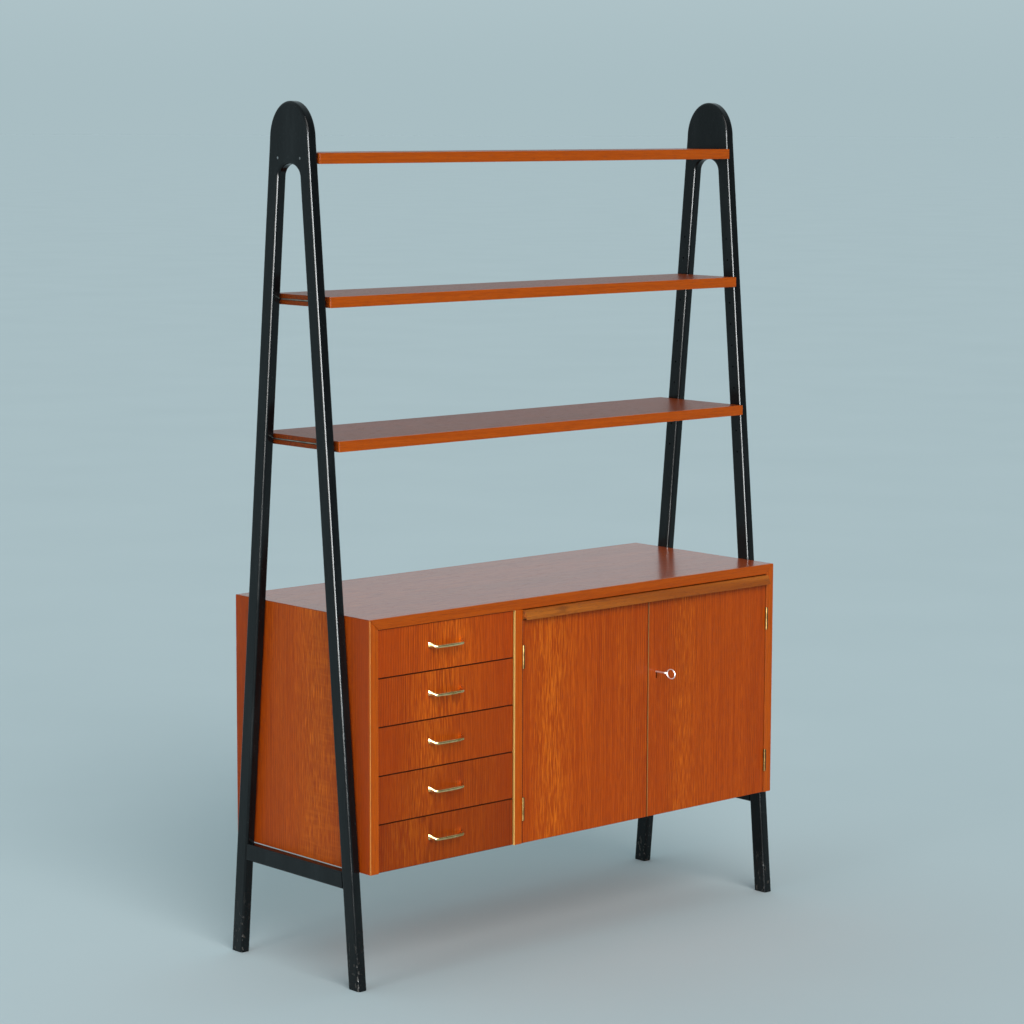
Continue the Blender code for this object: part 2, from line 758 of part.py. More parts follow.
# The key: a round shank with its bit inside the lock, and an oval bow in the plane of the bit.
key_origin = (KEY_X, DOOR_Y, KEY_Z)
tip_y = LOCK_Y[0] + 0.0090
bow_back = FRONT_Y - 0.0310
bow_front = FRONT_Y - KEY_REACH
key_bm = bmesh.new()
add_turned(key_bm, [(0.0021, bow_back - 0.0012), (0.0021, tip_y)], "Y", (KEY_X, KEY_Z), sides=10)
key = finish("key", key_bm, STEEL, origin=key_origin, smooth=True)
wire = 0.0016
bow_y = (bow_back + bow_front) / 2
bow_long = (bow_back - bow_front) / 2 - wire
bow_tall = 0.0118 - wire
ring = []
for step in range(20):
    t = 2 * pi * step / 20
    ring.append(Vector((KEY_X, bow_y + bow_long * cos(t), KEY_Z + bow_tall * sin(t))))
bow_bm = bmesh.new()
add_sweep(bow_bm, ring, [(wire * 0.8, wire)] * len(ring), Vector((1, 0, 0)), sides=6, closed=True)
carve(key, bow_bm, "UNION")
bit = bmesh.new()
bit_low = (KEY_X - 0.0009, tip_y - 0.0065, KEY_Z - 0.0095)
bit_high = (KEY_X + 0.0009, tip_y - 0.0005, KEY_Z - 0.0010)
add_box(bit, bit_low, bit_high)
carve(key, bit, "UNION")


# ---------------------------------------------------------------- writing leaf and inner shelf

board(
    "leaf_board",
    (DOOR_LEFT + 0.0012, FRONT_Y + 0.0163, LEAF_LOW + 0.0012),
    (DOOR_RIGHT - 0.0012, FRONT_Y + 0.4060, LEAF_TOP - 0.0012),
)

# The grip leans out towards its lower lip, which is hollowed behind for the fingers.
grip_outline = [
    (FRONT_Y - 0.0060, LEAF_TOP),
    (FRONT_Y + 0.0160, LEAF_TOP),
    (FRONT_Y + 0.0160, LEAF_LOW),
    (FRONT_Y - 0.0020, LEAF_LOW),
    (FRONT_Y - 0.0060, LEAF_LOW + 0.0040),
    (FRONT_Y - 0.0105, LEAF_LOW),
    (FRONT_Y - 0.0130, LEAF_LOW),
    (FRONT_Y - 0.0140, LEAF_LOW + 0.0012),
]
grip_bm = bmesh.new()
add_prism(grip_bm, grip_outline, "X", DOOR_LEFT + 0.0008, DOOR_RIGHT - 0.0008)
finish("leaf_grip", grip_bm, PALE_TEAK)

for word, wall, out in (("left", DOOR_LEFT, 1), ("right", DOOR_RIGHT, -1)):
    xs = sorted((wall + out * GAP, wall + out * 0.0130))
    low = (xs[0], FRONT_Y + 0.026, LEAF_LOW - 0.0110)
    board(f"{word}_leaf_runner", low, (xs[1], FRONT_Y + 0.430, LEAF_LOW + 0.0009), BEECH)

board(
    "inner_shelf",
    (DOOR_LEFT + 0.0012, FRONT_Y + 0.030, INNER_SHELF_Z),
    (DOOR_RIGHT - 0.0012, FRONT_Y + 0.405, INNER_SHELF_Z + 0.016),
)
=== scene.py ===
"""A teak bookcase hung between two black A-frames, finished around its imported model. Metres, +Z up."""

import json
from math import cos, pi, radians, sin

import bmesh
import bpy
from mathutils import Matrix, Vector


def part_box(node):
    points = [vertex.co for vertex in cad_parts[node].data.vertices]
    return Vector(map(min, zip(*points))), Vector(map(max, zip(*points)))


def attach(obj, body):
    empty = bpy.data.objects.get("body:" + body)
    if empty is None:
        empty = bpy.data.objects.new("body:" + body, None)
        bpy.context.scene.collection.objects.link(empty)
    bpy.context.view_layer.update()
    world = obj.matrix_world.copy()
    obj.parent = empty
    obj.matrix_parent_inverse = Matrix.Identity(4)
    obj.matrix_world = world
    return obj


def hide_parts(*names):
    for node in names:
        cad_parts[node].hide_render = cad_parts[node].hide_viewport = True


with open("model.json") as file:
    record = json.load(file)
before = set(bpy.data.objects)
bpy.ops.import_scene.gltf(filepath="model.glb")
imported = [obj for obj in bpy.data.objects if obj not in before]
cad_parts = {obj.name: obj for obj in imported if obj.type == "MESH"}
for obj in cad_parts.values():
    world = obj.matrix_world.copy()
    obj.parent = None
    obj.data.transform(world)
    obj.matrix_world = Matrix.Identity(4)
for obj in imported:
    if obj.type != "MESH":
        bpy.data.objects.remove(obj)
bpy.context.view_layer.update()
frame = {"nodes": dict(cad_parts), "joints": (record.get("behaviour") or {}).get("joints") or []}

# ================================================================ A-frames
# Each frame is two tapering legs finger-jointed into a round-topped head, beech, filled, rounded over with a
# router and sprayed black, so that no joint shows. A row of holes down each leg's inner face takes the wires.

head_low, head_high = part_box("left_frame_head")
front_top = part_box("left_front_leg")[1]
rear_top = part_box("left_rear_leg")[1]
FRAME_Y = (head_low.y + head_high.y) / 2
FRAME_TOP = head_high.z
LEG_THICK = head_high.x - head_low.x
ARCH_Z = head_low.z
HEAD_HALF = head_high.y - FRAME_Y
FOOT_HALF = rear_top.y - FRAME_Y
LEG_WIDTH = front_top.y - head_low.y
LEG_SLOPE = (FOOT_HALF - HEAD_HALF) / ARCH_Z
ARCH_RISE = 0.0280
HEAD_ROUND_Z = 1.7180
LEG_ROUND = 0.0055
FOOT_ROUND = 0.0014
HOLE_RADIUS = 0.0021
SCREW_Z = 1.6815
SCREW_HALF = 0.036
SCREW_RADIUS = 0.0027
SCREW_SINK = 0.0003
SCREW_RECESS = 0.0018
HOLE_DEEP = 0.012


def outer_half(z):
    """Half the frame's depth at a height."""
    return FOOT_HALF - LEG_SLOPE * z


def named(name):
    """Takes the piece just added: its name, with its place and size set into its mesh."""
    bpy.ops.object.transform_apply(location=True, rotation=True, scale=True)
    piece = bpy.context.object
    piece.name = name
    piece.data.name = name
    return piece


def alone(piece):
    """Leaves one piece chosen and active."""
    bpy.ops.object.select_all(action="DESELECT")
    piece.select_set(True)
    bpy.context.view_layer.objects.active = piece


def choose(piece, kind, wanted):
    """Opens a piece and chooses its faces or edges by their middle and their direction."""
    alone(piece)
    bpy.ops.object.mode_set(mode="EDIT")
    bpy.ops.mesh.select_mode(type=kind)
    bpy.ops.mesh.select_all(action="DESELECT")
    shape = bmesh.from_edit_mesh(piece.data)
    for item in shape.faces if kind == "FACE" else shape.edges:
        middle = sum((v.co for v in item.verts), Vector()) / len(item.verts)
        if kind == "FACE":
            way = item.normal
        else:
            way = (item.verts[1].co - item.verts[0].co).normalized()
        item.select_set(wanted(middle, way))
    bmesh.update_edit_mesh(piece.data)


def close():
    bpy.ops.object.mode_set(mode="OBJECT")


def block(name, low, high):
    """Sawn stock between two corners."""
    bpy.ops.object.select_all(action="DESELECT")
    middle = [(l + h) / 2 for l, h in zip(low, high)]
    size = [h - l for l, h in zip(low, high)]
    bpy.ops.mesh.primitive_cube_add(size=1, location=middle, scale=size)
    return named(name)


def rod(name, low, high, radius, sides=24):
    """Round stock along X, Y or Z, between the middles of its two ends."""
    bpy.ops.object.select_all(action="DESELECT")
    along = Vector(high) - Vector(low)
    middle = (Vector(high) + Vector(low)) / 2
    turn = along.to_track_quat("Z", "Y").to_euler()
    bpy.ops.mesh.primitive_cylinder_add(
        vertices=sides, radius=radius, depth=along.length, location=middle, rotation=turn
    )
    return named(name)


def gather(name, pieces):
    """Joins pieces into one that keeps them as separate shells."""
    alone(pieces[0])
    for piece in pieces:
        piece.select_set(True)
    if len(pieces) > 1:
        bpy.ops.object.join()
    pieces[0].name = name
    pieces[0].data.name = name
    return pieces[0]


def use(piece, kind, **settings):
    """Adds a modifier and applies it."""
    alone(piece)
    modifier = piece.modifiers.new(kind.lower(), kind)
    for key, value in settings.items():
        setattr(modifier, key, value)
    bpy.ops.object.modifier_apply(modifier=modifier.name)


def cut(piece, tool, operation="DIFFERENCE"):
    use(piece, "BOOLEAN", operation=operation, solver="EXACT", object=tool)
    bpy.data.objects.remove(tool, do_unlink=True)


def ease(piece, radius, segments=3):
    """Takes the sharpness off every arris."""
    use(piece, "BEVEL", width=radius, segments=segments, limit_method="ANGLE", angle_limit=radians(32))


def smooth(piece, angle=38):
    """Shades round faces as round and flat ones as flat."""
    alone(piece)
    bpy.ops.object.shade_smooth_by_angle(angle=radians(angle))
    use(piece, "WEIGHTED_NORMAL", keep_sharp=True, weight=50)


def arched(name, x_span, half_at, crown_z, rise, foot_z, sides):
    """A tall shape with an oval top: half_at gives its half width at a height."""
    x = sum(x_span) / 2
    bpy.ops.object.select_all(action="DESELECT")
    bpy.ops.mesh.primitive_cylinder_add(
        vertices=sides,
        radius=half_at(crown_z),
        depth=x_span[1] - x_span[0],
        location=(x, FRAME_Y, crown_z),
        rotation=(0, pi / 2, 0),
    )
    piece = named(name)
    choose(piece, "FACE", lambda middle, way: True)
    bpy.ops.transform.resize(
        value=(1, 1, rise / half_at(crown_z)), center_override=(x, FRAME_Y, crown_z)
    )
    bpy.ops.mesh.bisect(
        plane_co=(x, FRAME_Y, crown_z), plane_no=(0, 0, 1), use_fill=True, clear_inner=True
    )
    close()
    choose(piece, "FACE", lambda middle, way: way.z < -0.9 and middle.z < crown_z + 0.001)
    bpy.ops.mesh.extrude_region_move(TRANSFORM_OT_translate={"value": (0, 0, foot_z - crown_z)})
    bpy.ops.transform.resize(
        value=(1, half_at(foot_z) / half_at(crown_z), 1), center_override=(x, FRAME_Y, foot_z)
    )
    close()
    return piece


class Value:
    """One output of a material's nodes. Sums and products of values add the Math nodes that work them out."""

    def __init__(self, tree, socket=None):
        self.tree = tree
        self.socket = socket

    def add(self, kind, settings=None, inputs=None, take=0):
        """Adds a node, sets it, fills or links its inputs, and hands back one of its outputs."""
        node = self.tree.nodes.new(kind)
        for key, value in (settings or {}).items():
            setattr(node, key, value)
        for key, value in (inputs or {}).items():
            socket = node.inputs[key]
            if isinstance(value, Value):
                self.tree.links.new(value.socket, socket)
            elif socket.type == "RGBA":
                socket.default_value = (*value, 1)
            else:
                socket.default_value = value
        return Value(self.tree, node.outputs[take])

    def maths(self, operation, *values):
        return self.add("ShaderNodeMath", {"operation": operation}, dict(enumerate(values)))

    def __add__(self, other):
        return self.maths("ADD", self, other)

    def __sub__(self, other):
        return self.maths("SUBTRACT", self, other)

    def __rsub__(self, other):
        return self.maths("SUBTRACT", other, self)

    def __mul__(self, other):
        return self.maths("MULTIPLY", self, other)

    __radd__ = __add__
    __rmul__ = __mul__

    def between(self, low, high):
        """0 up to low, 1 from high, and an even ease from one to the other."""
        ends = {"Value": self, "From Min": low, "From Max": high}
        return self.add("ShaderNodeMapRange", {"interpolation_type": "SMOOTHSTEP"}, ends, "Result")

    def mix(self, one, two):
        """From one colour to the other as this value goes from 0 to 1."""
        return self.add("ShaderNodeMix", {"data_type": "RGBA"}, {0: self, 6: one, 7: two}, 2)

    def dimmed(self, amount):
        """This colour, times a value."""
        return self.add("ShaderNodeVectorMath", {"operation": "SCALE"}, {0: self, "Scale": amount})

    def axis(self, word):
        return self.add("ShaderNodeSeparateXYZ", None, {0: self}, word)

    def spots(self, per_metre, detail=2.0, shift=0.0):
        """Noise with so many spots in a metre along each axis, from 0 to 1 about a half."""
        spread = self.add(
            "ShaderNodeVectorMath",
            {"operation": "MULTIPLY_ADD"},
            {0: self, 1: per_metre, 2: (shift, shift * 0.7, shift * 1.3)},
        )
        return self.add("ShaderNodeTexNoise", None, {"Vector": spread, "Scale": 1.0, "Detail": detail}, "Fac")


def finish(name):
    """A new finish: its shader, and the place on the piece that its pattern is worked out from."""
    material = bpy.data.materials.new(name)
    material.use_nodes = True
    shader = material.node_tree.nodes["Principled BSDF"]
    place = Value(material.node_tree).add("ShaderNodeTexCoord", take="Object")
    return material, shader, place


def feed(shader, socket, value):
    value.tree.links.new(value.socket, shader.inputs[socket])


def bump(shader, height, distance, strength=1.0):
    """Raises and sinks the surface: distance is how far a height of 1 stands, in metres."""
    relief = height.add(
        "ShaderNodeBump", None, {"Height": height, "Distance": distance, "Strength": strength}, "Normal"
    )
    feed(shader, "Normal", relief)


def wear(piece, material):
    piece.data.materials.clear()
    piece.data.materials.append(material)


def black_lacquer():
    """Sprayed black over filled beech: slightly uneven, dusty in places, knocked near the floor."""
    material, shader, place = finish("black_lacquer")
    orange_peel = place.spots((90, 90, 22), 2.0)
    dust = place.spots((24, 24, 5), 3.0, 5.0).between(0.45, 0.75)
    specks = place.spots((420, 420, 260), 1.0, 9.0).between(0.71, 0.76)
    low_down = 1 - place.axis("Z").between(0.0, 0.16)
    knocks = place.spots((150, 150, 70), 2.0, 13.0).between(0.60, 0.66) * low_down
    colour = dust.mix((0.0030, 0.0045, 0.0052), (0.0070, 0.0095, 0.0105))
    colour = (specks * 0.6).mix(colour, (0.040, 0.045, 0.046))
    colour = (knocks * 0.7).mix(colour, (0.070, 0.060, 0.050))
    feed(shader, "Base Color", colour)
    feed(shader, "Roughness", 0.12 + orange_peel * 0.10 + dust * 0.08 + knocks * 0.25)
    shader.inputs["Specular IOR Level"].default_value = 0.24
    bump(shader, orange_peel * 0.8 - knocks * 0.5, 0.00035)
    return material


LACQUER = black_lacquer()

wire_z = [sum(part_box(f"{row}_left_shelf_wire")[i].z for i in (0, 1)) / 2 for row in ("lower", "upper")]
HOLE_PITCH = (wire_z[1] - wire_z[0]) / 6
hole_rows = [wire_z[0] + (row - 2) * HOLE_PITCH for row in range(11)]

for side, word in ((-1, "left"), (1, "right")):
    low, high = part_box(f"{word}_frame_head")
    span = (low.x, high.x)
    inner = low.x if side > 0 else high.x
    piece = arched(f"{word}_frame", span, outer_half, HEAD_ROUND_Z, FRAME_TOP - HEAD_ROUND_Z, 0.0, 96)
    span = (low.x - 0.01, high.x + 0.01)
    opening = arched("opening", span, lambda z: outer_half(z) - LEG_WIDTH, ARCH_Z, ARCH_RISE, -0.01, 64)
    cut(piece, opening)
    choose(piece, "FACE", lambda middle, way: True)
    bpy.ops.mesh.dissolve_limited(angle_limit=radians(1))
    close()
    choose(piece, "EDGE", lambda middle, way: abs(way.x) < 0.1 and middle.z > 0.001)
    bpy.ops.mesh.bevel(offset=LEG_ROUND, segments=5, affect="EDGES")
    close()
    choose(piece, "EDGE", lambda middle, way: middle.z < 0.0001 and abs(way.z) < 0.1)
    bpy.ops.mesh.bevel(offset=FOOT_ROUND, segments=2, affect="EDGES")
    close()
    drills = []
    for z in hole_rows:
        for end in (-1, 1):
            y = FRAME_Y + end * (outer_half(z) - LEG_WIDTH / 2)
            start, stop = (inner - side * 0.002, y, z), (inner + side * HOLE_DEEP, y, z)
            drills.append(rod("drill", start, stop, HOLE_RADIUS, 12))
    outer = inner + side * LEG_THICK
    for end in (-1, 1):
        y = FRAME_Y + end * SCREW_HALF
        start, stop = (outer - side * SCREW_RECESS, y, SCREW_Z), (outer + side * 0.002, y, SCREW_Z)
        drills.append(rod("drill", start, stop, SCREW_RADIUS + 0.0001, 24))
    cut(piece, gather("drills", drills))
    smooth(piece, 42)
    wear(piece, LACQUER)
    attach(piece, "case_and_frames")
    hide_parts(f"{word}_front_leg", f"{word}_rear_leg", f"{word}_frame_head")

# ---------------------------------------------------------------- cross rails
# A flat rail is dowelled between the two legs of each frame, right under the case, and sprayed with them.

for word in ("left", "right"):
    low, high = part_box(f"{word}_cross_rail")
    piece = block(f"{word}_rail", low, high)
    spread = (outer_half(high.z) - LEG_WIDTH) / (outer_half(low.z) - LEG_WIDTH)
    choose(piece, "FACE", lambda middle, way: way.z > 0.9)
    bpy.ops.transform.resize(value=(1, spread, 1), center_override=(0, FRAME_Y, high.z))
    close()
    choose(piece, "EDGE", lambda middle, way: abs(way.y) > 0.9)
    bpy.ops.mesh.bevel(offset=0.003, segments=4, affect="EDGES")
    close()
    smooth(piece)
    wear(piece, LACQUER)
    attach(piece, "case_and_frames")
    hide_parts(f"{word}_cross_rail")

# ================================================================ fixed case
# Blockboard faced with teak veneer, lipped with solid teak along its front, mitred and glued at the top
# corners, then sanded and sprayed with a thin satin lacquer that lets the grain be felt.

LIGHT, MID = (0.76, 0.165, 0.006), (0.56, 0.088, 0.002)
DARK, DEEP = (0.42, 0.054, 0.001), (0.26, 0.029, 0.001)
RED = (0.42, 0.045, 0.001)
LIPPING = (0.66, 0.114, 0.003)
# Painted shade: the dark of the gaps round the drawer and door fronts, and of the inside of the keyhole.
PAINTED_SHADE = (0.045, 0.009, 0.001)
# A painted highlight: the pale of an arris or a narrow face that catches the light.
ARRIS_HIGHLIGHT = (1.00, 0.62, 0.17)
RING = 0.0056


def teak(
    name, box, along, across, heart=0.0, deep=0.05, taper=0.05, gold=0.5, glow=None, flush=0.0, ripple=0.0,
    tone=1.0, seed=0.0, lip=None, shade=1.0, gloss=0.0, worn=None, grime=0.0, bored=None,
):
    """Teak veneer on a board. along is the axis of the grain and across the one over the leaf. heart is how
    far from the middle the log's heart lies, deep how far behind the face, and taper how fast it comes up.
    glow gives the place and reach of a golden band, flush how much the leaf reddens towards its two edges,
    and ripple its cross figure. lip gives the axis, the end and the depth of a solid lipping, shade how
    light the flat is beside it, and gloss how much more lacquer the flat was given. worn gives the axis,
    the end, the depth and the strength of a painted highlight: a pale line along an arris that catches the
    light. grime is how wide a line of painted shade runs along the edges of the face, for the dark of the
    gaps round it. bored gives the place and reach of a hole whose inside is painted with shade."""
    material, shader, place = finish(name)
    low, high = box
    centre, half = (low + high) / 2, (high - low) / 2
    half_wide, half_long = half["XYZ".index(across)], half["XYZ".index(along)]
    middled = place.add("ShaderNodeVectorMath", {"operation": "SUBTRACT"}, {0: place, 1: centre})
    behind = ({"X", "Y", "Z"} - {along, across}).pop()
    u, v, w = middled.axis(across), middled.axis(along), middled.axis(behind)
    grain = place.add("ShaderNodeCombineXYZ", None, {"X": u, "Y": w, "Z": v})

    def in_from(axis, end):
        """How far a point lies in from one end of the board."""
        edge = (low if end < 0 else high)["XYZ".index(axis)]
        return (place.axis(axis) - edge) * (-end)

    sway = grain.spots((5, 5, 1.1), 2.0, seed)
    swell = grain.spots((3.5, 3.5, 1.6), 1.0, seed + 3)
    wobble = grain.spots((60, 60, 9), 2.0, seed + 5)
    sideways = u - heart + (sway - 0.5) * 0.05
    inwards = deep + v * taper + (swell - 0.5) * 0.10
    radius = u.maths("SQRT", sideways * sideways + inwards * inwards)
    year = u.maths("FRACT", (radius + (wobble - 0.5) * 0.004) * (1 / RING))
    late = year.between(0.35, 0.86) * (1 - year.between(0.90, 1.0))
    hairs = grain.spots((430, 430, 3.2), 1.0, seed + 31).between(0.66, 0.74)
    strong = grain.spots((14, 14, 1.0), 2.0, seed + 7).between(0.36, 0.70)
    broad = grain.spots((13, 13, 0.7), 2.0, seed + 11)
    streak = grain.spots((240, 240, 4.5), 3.0, seed + 13)
    fleck = grain.spots((760, 760, 30), 2.0, seed + 15)
    fibre = grain.spots((1100, 1100, 22), 2.0, seed + 17)
    pores = grain.spots((1500, 1500, 42), 1.0, seed + 19).between(0.62, 0.70)
    golden = broad.between(0.42, 0.70) * gold
    if glow:
        away = u.maths("ABSOLUTE", u - glow[0] + (sway - 0.5) * 0.05)
        golden = golden + (1 - away.between(0.0, glow[1])) * 0.9
    colour = (streak * 0.5 + fleck * 0.5).between(0.38, 0.62).mix(DARK, MID)
    colour = (fleck.between(0.44, 0.70) * golden).mix(colour, LIGHT)
    if flush:
        colour = (u.maths("ABSOLUTE", u * (1 / half_wide)).between(0.25, 1.1) * flush).mix(colour, RED)
    if ripple:
        cross = grain.spots((14, 14, 150), 1.0, seed + 23).between(0.46, 0.66)
        where = grain.spots((6, 6, 2.2), 1.0, seed + 29).between(0.46, 0.62)
        colour = (cross * where * ripple).mix(colour, LIGHT)
    colour = (late * strong * 0.6).mix(colour, DEEP)
    colour = (hairs * 0.45).mix(colour, DEEP)
    flat = 1.0
    if lip:
        axis, end, depth = lip
        on_lip = 1 - in_from(axis, end).between(depth * 0.94, depth)
        flat = 1 - on_lip
        solid = (streak * 0.5 + fleck * 0.5).between(0.36, 0.60).mix(MID, LIPPING)
        colour = on_lip.mix(colour.dimmed(shade), solid)
    colour = colour.dimmed(tone * (0.84 + fibre * 0.32) * (1 - pores * 0.30))
    # A line of painted shade along the edges of the face, where the gaps round it fall dark.
    if grime:
        past_side = u.maths("ABSOLUTE", u) - half_wide
        past_end = u.maths("ABSOLUTE", v) - half_long
        near = u.maths("MAXIMUM", past_side, past_end).between(-grime, -grime / 2)
        on_face = 1 - in_from("Y", -1).between(grime, grime * 2)
        colour = (near * on_face).mix(colour, PAINTED_SHADE)
    # The inside of the keyhole is painted with shade.
    if bored:
        middle, reach = bored
        away = place.add("ShaderNodeVectorMath", {"operation": "DISTANCE"}, {0: place, 1: middle}, "Value")
        inside = (1 - away.between(reach, reach * 1.1)) * in_from("Y", -1).between(0.0003, 0.0008)
        colour = inside.mix(colour, PAINTED_SHADE)
    # A pale line painted along an arris: a painted highlight where the edge catches the light.
    if worn:
        axis, end, depth, strength = worn
        beside = 1 - in_from(axis, end).between(0.0009, 0.0016)
        in_front = 1 - in_from("Y", -1).between(depth * 0.9, depth)
        colour = (beside * in_front * (0.6 + streak * 0.5) * strength).mix(colour, ARRIS_HIGHLIGHT)
    feed(shader, "Base Color", colour)
    feed(shader, "Roughness", 0.27 + fibre * 0.12 + pores * 0.18)
    shader.inputs["Specular IOR Level"].default_value = 0.13
    if gloss:
        feed(shader, "Coat Weight", (0.9 + fibre * 0.2) * flat * gloss)
        shader.inputs["Coat Roughness"].default_value = 0.20
    bump(shader, fibre * 0.5 - pores - late * 0.2, 0.00008)
    return material


case_low, case_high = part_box("case_left_side")
top_low, top_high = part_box("case_top")
FRONT_Y, BACK_Y = top_low.y, top_high.y
SIDE_X = top_high.x
CASE_TOP, CASE_FOOT = top_high.z, case_low.z
PANEL = top_high.z - top_low.z
DRAWER_ROOM = 0.0010
BAY_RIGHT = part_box("drawer_1_front")[1].x + DRAWER_ROOM
DOOR_LEFT = BAY_RIGHT + PANEL
ARRIS = 0.0009
FINE_ARRIS = 0.0006
LIP_DEPTH = 0.0050
GAP = 0.0003

piece = block("case_top_board", top_low, top_high)
for side in (-1, 1):
    choose(
        piece,
        "EDGE",
        lambda middle, way: abs(way.y) > 0.9 and middle.z < top_low.z + 0.001 and middle.x * side > 0,
    )
    bpy.ops.transform.translate(value=(-side * PANEL, 0, 0))
    close()
ease(piece, ARRIS)
smooth(piece)
lip = ("Y", -1, LIP_DEPTH)
board = (top_low, top_high)
wear(piece, teak("teak_case_top", board, "X", "Y", 0.03, 0.06, tone=0.84, seed=31.0, lip=lip, gloss=0.7))
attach(piece, "case_and_frames")
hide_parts("case_top")

for side, word in ((-1, "left"), (1, "right")):
    xs = sorted((side * SIDE_X, side * (SIDE_X - PANEL)))
    low = Vector((xs[0], FRONT_Y, CASE_FOOT))
    high = Vector((xs[1], BACK_Y, CASE_TOP - 0.0005))
    piece = block(f"case_{word}_wall", low, high)
    far, tall = SIDE_X - 0.01, CASE_TOP - 0.01
    choose(piece, "EDGE", lambda middle, way: abs(way.y) > 0.9 and middle.z > tall and abs(middle.x) < far)
    bpy.ops.transform.translate(value=(0, 0, -PANEL))
    close()
    ease(piece, ARRIS)
    smooth(piece)
    grown = {"heart": -0.16, "deep": 0.03, "taper": 0.02, "gold": 0.30, "glow": (-0.06, 0.10), "flush": 0.7}
    grown |= {"ripple": 0.25, "tone": 0.95, "lip": lip}
    # The near side's front left arris gets a painted highlight: a pale line where it catches the light.
    if side < 0:
        grown["worn"] = ("X", -1, 0.0012, 0.4)
    wear(piece, teak(f"teak_{word}_wall", (low, high), "Z", "Y", **grown, seed=5.0 + side))
    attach(piece, "case_and_frames")
    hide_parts(f"case_{word}_side")

# ---------------------------------------------------------------- partition, bottom and back
# The partition is housed in the top and stands over the bottom, which sits in grooves in the two sides. The
# back is thin plywood with a stained face, pinned into rebates from behind.

bottom_low, bottom_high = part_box("case_bottom")
back_low, back_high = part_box("case_back")
low = Vector((BAY_RIGHT, FRONT_Y, CASE_FOOT))
high = Vector((DOOR_LEFT, back_low.y - GAP, top_low.z - GAP))
piece = block("case_divider", low, high)
ease(piece, ARRIS)
start = (low.x - 0.01, bottom_low.y - GAP, CASE_FOOT - 0.01)
cut(piece, block("room_for_bottom", start, (high.x + 0.01, BACK_Y, bottom_high.z + GAP)))
smooth(piece)
# Painted highlight: the partition's left face beside the set-back drawers and its front left arris are
# painted pale where they catch the light.
grown = {"gold": 0.8, "seed": 12.0, "lip": lip, "worn": ("X", -1, 0.0064, 1.0)}
wear(piece, teak("teak_divider", (low, high), "Z", "Y", -0.10, 0.04, **grown))
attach(piece, "case_and_frames")
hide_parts("case_partition")

piece = block("case_floor_board", bottom_low, bottom_high)
ease(piece, FINE_ARRIS)
smooth(piece)
board = (bottom_low, bottom_high)
wear(piece, teak("teak_floor_board", board, "X", "Y", 0.05, 0.05, 0.03, seed=17.0, tone=0.85))
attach(piece, "case_and_frames")
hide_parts("case_bottom")


def plain_wood(name, along, pale, dark, per_metre=(520, 520, 30), sheen=0.52, fleck=0.5):
    """Close-grained unlacquered wood: short darker flecks drawn out along the grain, and broad bands."""
    material, shader, place = finish(name)
    order = {"X": "YZX", "Y": "XZY", "Z": "XYZ"}[along]
    parts = dict(zip("XYZ", (place.axis(word) for word in order)))
    grain = place.add("ShaderNodeCombineXYZ", None, parts)
    bands = grain.spots((34, 34, 0.9), 3.0, 2.0)
    streak = grain.spots((210, 210, 4.0), 2.0, 6.0)
    flecks = grain.spots(per_metre, 1.0, 11.0).between(0.58, 0.68)
    scuffs = place.spots((11, 11, 11), 3.0, 4.0).between(0.52, 0.72)
    colour = bands.between(0.30, 0.72).mix(pale, dark)
    colour = (streak.between(0.42, 0.75) * 0.6).mix(colour, pale)
    colour = (flecks * fleck).mix(colour, dark)
    colour = colour.dimmed(0.90 + streak * 0.2 - scuffs * 0.10)
    feed(shader, "Base Color", colour)
    feed(shader, "Roughness", sheen + flecks * 0.12 + scuffs * 0.08)
    bump(shader, streak - flecks, 0.00008)
    return material


STAINED = ((0.40, 0.170, 0.060), (0.24, 0.085, 0.026))
BACK_WOOD = plain_wood("stained_plywood", "Z", *STAINED, (700, 700, 34), 0.58)
piece = block("case_back_sheet", back_low, back_high)
ease(piece, 0.0005, 2)
smooth(piece)
wear(piece, BACK_WOOD)
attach(piece, "case_and_frames")
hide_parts("case_back")

# ---------------------------------------------------------------- screws
# Countersunk screws with one slot. A head lies flush, and a turn of the slot to each side keeps them from
# all pointing the same way.


def metal(name, bright, dull, low=0.10, high=0.28, spots=(55, 55, 55)):
    """Worn metal: bright where hands and cloths reach, dulled in clouds, with fine rubbing marks."""
    material, shader, place = finish(name)
    clouds = place.spots(spots, 3.0, 3.0)
    rubs = place.spots((2600, 2600, 500), 1.0, 8.0)
    pits = place.spots((1500, 1500, 1500), 1.0, 14.0).between(0.70, 0.76)
    colour = clouds.between(0.36, 0.70).mix(bright, dull)
    colour = (pits * 0.7).mix(colour, dull)
    feed(shader, "Base Color", colour)
    feed(shader, "Roughness", low + clouds.between(0.3, 0.75) * (high - low) + rubs * 0.06)
    shader.inputs["Metallic"].default_value = 1.0
    bump(shader, rubs * 0.4 - pits, 0.00002)
    return material


BRASS = metal("brass", (0.84, 0.64, 0.31), (0.50, 0.350, 0.130))
AGED_BRASS = metal("aged_brass", (0.24, 0.145, 0.050), (0.075, 0.040, 0.014), 0.28, 0.46)
# The wires' steel is darkened with painted shade, for the grooves they lie in.
WIRE_STEEL = metal("wire_steel", (0.36, 0.38, 0.34), (0.16, 0.17, 0.15), 0.28, 0.42)
NICKEL = metal("nickel", (0.92, 0.91, 0.89), (0.70, 0.69, 0.67), 0.24, 0.38)


